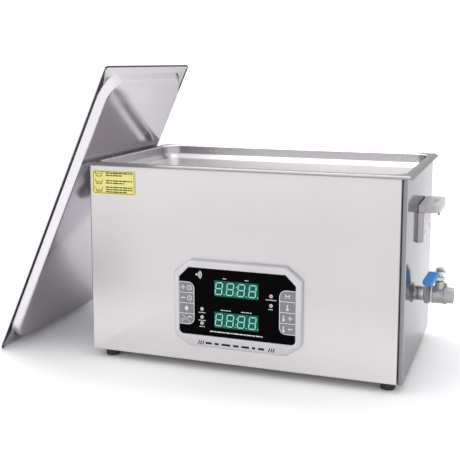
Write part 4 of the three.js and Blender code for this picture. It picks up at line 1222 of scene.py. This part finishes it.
def build_lever():
    """What turns with the handle: the cranked strip and its sleeve, the stem, the nut and the ball."""
    body = "valve_handle"
    stations = [4, 12, 20, LEVER_BEND - 1.5, LEVER_BEND, LEVER_BEND + 2, 34, 42]
    rings = [lever_section(out, 0, 7, 0.9) for out in stations]
    rings += [lever_section(44.5, 0, 6.4, 0.9), lever_section(LEVER_TIP, 0, 4.4, 0.9)]
    hub = disc(9, LEVER_BOTTOM, LEVER_BOTTOM + LEVER_THICK, on_stem, 56)
    lever = carve(fuse(loft(rings), hub), disc(4.1, 30, 60, on_stem, 32))
    piece("lever_strip", lever, NICKEL, body, ["valve_lever"], bevel=0.4)

    outside = [(21, 1.2, 8.0), (21.4, 1.7, 8.6), (23, 2, 9), (LEVER_BEND, 2, 9), (27, 2, 9), (40, 2, 9)]
    outside += [(45, 2, 8.8), (46.8, 1.8, 7.6), (47.7, 1.4, 5.6)]
    skin = loft([lever_section(out, margin, half, min(1.8, margin + 1)) for out, margin, half in outside])
    socket = loft([lever_section(out, 0.25, 7.2, 0.9) for out in (18, 23.5, LEVER_BEND, 27, 44.5)])
    piece("lever_grip_vinyl", carve(skin, socket), VINYL_BLUE, body, ["lever_sleeve"])

    stem = [(0, 9.5), (4, 9.5), (4, 34), (3.9, 34.5)] + thread(3.95, 34.8, 43, 1.0, 0.4)
    stem += [(3.2, 43.6), (0, 43.6)]
    piece("stem_turned", turned(stem, on_stem, 40), NICKEL, body, ["valve_stem"])
    nut = hex_nut(11.4, LEVER_BOTTOM + 3.3, 44, on_stem, 4.05, 0.7)
    piece("lever_nut_hex", nut, NICKEL, body, ["valve_lever_nut"], bevel=0.15)

    ball = [(9.2 * math.cos(math.radians(a)), 9.2 * math.sin(math.radians(a))) for a in range(-90, 91, 6)]
    ball = turned([(max(0.0, r), z) for r, z in ball], on_stem, 60)
    port = prism(circle(6.5, 48), -12, 12, lambda a, b, depth: on_stem(a, depth, b))
    piece("valve_ball_bored", carve(ball, port), STEEL_WIRE, body, ["valve_ball"])


# ---------------- rear fittings


def build_fan():
    """The wire guard with its four screws, and the rotor's hub and seven twisted blades."""
    about = back_middle("fan_frame")
    wires = []
    for radius in (38, 28, 18, 8):
        path = [on_back(a, b, 1.45) for a, b in circle(radius, 72, about)]
        wires.append(swept(path, 1.1, closed=True))
    for turn in (45, 135, 225, 315):
        direction = Vector((math.cos(math.radians(turn)), math.sin(math.radians(turn))))
        ends = [Vector(about) + direction * r for r in (4, 40, 46.5)]
        wires.append(swept([on_back(p.x, p.y, 1.45) for p in ends], 1.1))
        eye = tuple(Vector(about) + direction * 48.6)
        path = [on_back(a, b, 1.45) for a, b in circle(2.7, 24, eye)]
        wires.append(swept(path, 1.05, closed=True))
        screw(f"screw_fan_{turn}", eye, 1.6, lambda a, b, d: on_back(a, b, 0.6 + d), 2.2)
    piece("fan_guard", merged(*wires), STEEL_WIRE, replaces=["fan_grille"])
    dress("fan_frame", BLACK_PLASTIC, 0.6)

    front = node_box("fan_rotor")[1].y - WALL_Y
    profile = [(2.6, front - 19), (16.4, front - 19), (17, front - 18.4), (17, front - 1)]
    profile += arc((16, front - 1), 1, 0, 90, 4)
    profile += [(0, front), (0, front - 4), (2.6, front - 4), (2.6, front - 19)]
    hub = turned(profile, on_back, 48, about)
    blade = [(-0.5, 0), (-0.25, -0.7), (0.25, -0.7), (0.5, 0), (0.25, 0.7), (-0.25, 0.7)]
    blades = []
    for i in range(7):
        spin = 2 * math.pi * i / 7
        rings = []
        for station in range(9):
            share = station / 8
            radius = 15.5 + 20.3 * share
            pitch = math.radians(52 - 24 * share)
            chord = 17 + 6 * share
            lead = spin + 0.35 * share
            ring = []
            for along, across in blade:
                sideways = along * chord * math.cos(pitch) - across * math.sin(pitch)
                deep = along * chord * math.sin(pitch) + across * math.cos(pitch)
                angle = lead + sideways / radius
                a, b = about[0] + radius * math.cos(angle), about[1] + radius * math.sin(angle)
                ring.append(on_back(a, b, front - 10 + deep * 0.8))
            rings.append(ring)
        blades.append(loft(rings))
    piece("fan_impeller", merged(hub, *blades), BLACK_PLASTIC, "fan", ["fan_rotor"])


def build_inlet_and_switch():
    """The mains inlet with its three contacts, and the switch with its rocker in the off position."""
    about = back_middle("power_inlet")
    flange = prism(shifted(rectangle(48, 25, 5, 8), *about), 0.3, 3, on_back)
    shell = prism(shifted(rectangle(29, 21, 2, 4), *about), -22, 1, on_back)
    socket_corners = [(-12, -8, 1), (12, -8, 1), (12, 3.5, 1), (7.5, 8, 1), (-7.5, 8, 1), (-12, 3.5, 1)]
    socket = prism(shifted(rounded(socket_corners, 3), *about), -17, 6, on_back)
    inlet = carve(fuse(flange, shell), socket)
    piece("inlet_body", inlet, BLACK_PLASTIC, replaces=["power_inlet"], bevel=0.4)
    contacts = [
        prism(shifted(rectangle(2, 5, 0.5, 3), about[0] + x, about[1] + z), -18, -4, on_back)
        for x, z in ((-7, -1.5), (0, 2), (7, -1.5))
    ]
    piece("inlet_contacts", merged(*contacts), NICKEL, bevel=0.3)
    for i, x in enumerate((-20, 20)):
        centre = (about[0] + x, about[1])
        screw(f"screw_inlet_{i + 1}", centre, 1.5, lambda a, b, d: on_back(a, b, 3 + d), 2.2)

    about = back_middle("switch_frame")
    collar = prism(shifted(rectangle(24, 34, 2.5, 6), *about), 0.3, 2.5, on_back)
    well = prism(shifted(rectangle(20, 28, 1, 3), *about), -18, 1, on_back)
    opening = prism(shifted(rectangle(16, 24, 1, 3), *about), -14, 6, on_back)
    surround = carve(fuse(collar, well), opening)
    node = "switch_frame"
    piece("switch_surround", surround, BLACK_PLASTIC, replaces=[node], bevel=0.5)

    tilt = math.radians(10)

    def on_rocker(a, b, depth):
        """An outline in depth and height about the rocker's pivot, tilted to its off position."""
        out = a * math.cos(tilt) + b * math.sin(tilt)
        up = b * math.cos(tilt) - a * math.sin(tilt)
        return (-about[0] + depth, WALL_Y - 1 + out, about[1] + up)

    half = 10.2
    heights = [-half + 2 * half * i / 16 for i in range(17)]
    face = [(2.2 + 1.3 * (z / half) ** 2, z) for z in heights]
    profile = face + [(-3, half), (-7, 0), (-3, -half)]
    button = prism(profile, -7.5, 7.5, on_rocker)
    piece("rocker_button", button, BLACK_PLASTIC, "rocker", ["switch_rocker"], bevel=0.5)
    front = [stroke([(-1.6, 0), (1.6, 0)], 0.6, 3.15, 3.2, lambda a, b, d: on_rocker(d, 6 + b, a))]
    front.append(stroke(circle(1.7, 24, (0, -6)), 0.6, 3.15, 3.2, lambda a, b, d: on_rocker(d, b, a), True))
    piece("rocker_marks", merged(*front), PRINT_LIGHT, "rocker")


def dress_inside():
    """Materials and softened edges of the working parts, which only show with a panel off."""
    for i in range(1, 7):
        dress(f"transducer_{i}", CERAMIC, 0.4)
    dress("generator_heatsink", CERAMIC, 0.3)
    for node in ("heater_pad_front", "heater_pad_back"):
        dress(node, SILICONE, 0.5)
    for node in ("control_board", "generator_board"):
        dress(node, BOARD, 0.2)


# ---------------- lid


def build_lid():
    """The pressed lid: flange with a turned edge, and a pan raised towards the tank."""
    low, high = node_box("lid")
    lean, length, width = math.radians(66.2), 528, high.y - low.y
    lift = high.z - length * math.sin(lean)
    middle_y = (low.y + high.y) / 2

    def leaning(along, across, rise):
        """(up along the lid, across it, out of its plane towards the tank) to body millimetres."""
        x = low.x + along * math.cos(lean) + rise * math.sin(lean)
        return (x, middle_y - across, lift + along * math.sin(lean) - rise * math.cos(lean))

    def ring(half_x, half_y, radius, rise):
        outline = rectangle(2 * half_x, 2 * half_y, max(0.5, radius), 14)
        return [leaning(length / 2 + a, b, rise) for a, b in outline]

    def edge(inset, rise):
        """The flange's outline."""
        return ring(length / 2 - inset, width / 2 - inset, 10 - inset, rise)

    def pan(inset, rise):
        """The pan's outline; its upper and back walls lean more than the others."""
        share = max(0, rise - 1.5) / 14
        top, back = 5 * share, 17 * share
        outline = rectangle(2 * (250 - inset) - top, 2 * (159 - inset) - back, max(0.5, 45 - inset), 14)
        return [leaning(length / 2 - top / 2 + a, b + back / 2, rise) for a, b in outline]

    hollow = [(8.4, 14), (6.9, 13.9), (5.4, 13.2), (4.6, 12), (2.4, 3), (1.5, 0.8), (0, 0)]
    hem = [(0.9, 0), (0.3, 0.25), (0, 0.8), (0, 1.9), (0.25, 2.35), (0.7, 2.5)]
    hem += [(1.2, 2.4), (1.5, 2.1), (1.7, 1.7), (2.1, 1.55), (2.8, 1.5), (5.5, 1.5)]
    raised = [(-2.4, 1.5), (-1.0, 1.75), (-0.2, 2.5), (0.3, 4.2), (2.2, 11.6), (2.9, 13.3)]
    raised += [(4.1, 14.7), (5.6, 15.35), (7.2, 15.5)]
    rings = [pan(*row) for row in hollow] + [edge(*row) for row in hem] + [pan(*row) for row in raised]
    shell = loft(rings)
    lid = piece("lid_shell", shell, STEEL_LID, "lid_body", ["lid"])

    def on_edge(centre, _):
        """Whether a face lies on the turned edge at the top or the back."""
        along = (centre.x - low.x) * math.cos(lean) + (centre.z - lift) * math.sin(lean)
        return along > length - 3.5 or centre.y > middle_y + width / 2 - 4.5

    # painted shade on the flange's near side and on the turned edge at the top and back; painted highlight
    # on the pan's near wall
    front_flange = middle_y - 160
    repaint(lid, STEEL_HEM_SHADE, lambda centre, normal: centre.y < front_flange and abs(normal.y) < 0.5)
    repaint(lid, STEEL_LIT, lambda centre, normal: centre.y > front_flange and normal.y < -0.5)
    repaint(lid, STEEL_HEM_SHADE, on_edge)


# ---------------- stage, lights and camera


def build_stage():
    """A wide pale floor."""
    floor = Shader("floor_white", (0.93, 0.93, 0.94), 0.7)
    floor.tint(floor.noise(3, detail=2), (0.925, 0.925, 0.935), (0.935, 0.935, 0.945))
    bm = bmesh.new()
    bmesh.ops.create_grid(bm, x_segments=8, y_segments=8, size=12)
    mesh = bpy.data.meshes.new("floor")
    bm.to_mesh(mesh)
    bm.free()
    mesh.materials.append(floor.material)
    obj = bpy.data.objects.new("floor", mesh)
    bpy.context.scene.collection.objects.link(obj)


def area_light(name, place, target, size, power):
    """A rectangular lamp at a place, aimed at a target, in metres and watts."""
    data = bpy.data.lights.new(name, "AREA")
    data.shape = "RECTANGLE"
    data.size, data.size_y = size
    data.energy = power
    obj = bpy.data.objects.new(name, data)
    bpy.context.scene.collection.objects.link(obj)
    obj.location = place
    obj.rotation_mode = "QUATERNION"
    obj.rotation_quaternion = (Vector(target) - Vector(place)).to_track_quat("-Z", "Y")


def build_lights():
    """An even white surround, a lamp high behind the left end and a large one at the front left."""
    world = bpy.data.worlds.new("studio")
    bpy.context.scene.world = world
    world.use_nodes = True
    background = world.node_tree.nodes["Background"]
    background.inputs["Color"].default_value = (1, 1, 1, 1)
    background.inputs["Strength"].default_value = 1.25
    area_light("overhead", (-0.25, 0.34, 1.7), (-0.25, 0.34, 0), (1.1, 0.45), 8)
    area_light("front_left", (-1.6, -1.8, 1.5), (0, 0, 0.2), (1.4, 1.4), 6)


CAMERA_OFFSET = Vector((423.1, -1382.6, 490.8))
CAMERA_YAW, CAMERA_PITCH = 19.59, -8.0
CAMERA_LENS, CAMERA_SHIFT = 67.01, -0.1053


def build_camera():
    """The camera stands at the right front, a little above the rim."""
    data = bpy.data.cameras.new("camera")
    data.lens = CAMERA_LENS
    data.sensor_width = 36
    data.shift_y = CAMERA_SHIFT
    data.clip_start, data.clip_end = 0.05, 60
    obj = bpy.data.objects.new("camera", data)
    bpy.context.scene.collection.objects.link(obj)
    obj.location = TO_ROW @ CAMERA_OFFSET
    obj.rotation_euler = (math.radians(90 + CAMERA_PITCH), 0, math.radians(CAMERA_YAW))
    bpy.context.scene.camera = obj
    settings = bpy.context.scene.view_settings
    settings.view_transform = "Standard"
    settings.look = "None"


build_camera()
build_stage()
build_lights()
build_tank()
build_housing()
build_front_panel()
build_feet()
build_bezel()
build_overlay()
build_keys()
build_displays()
build_lenses()
build_bezel_print()
build_notice()
build_handle("right", 1, folded=False)
build_handle("left", -1, folded=True)
build_valve()
build_lever()
build_fan()
build_inlet_and_switch()
dress_inside()
build_lid()
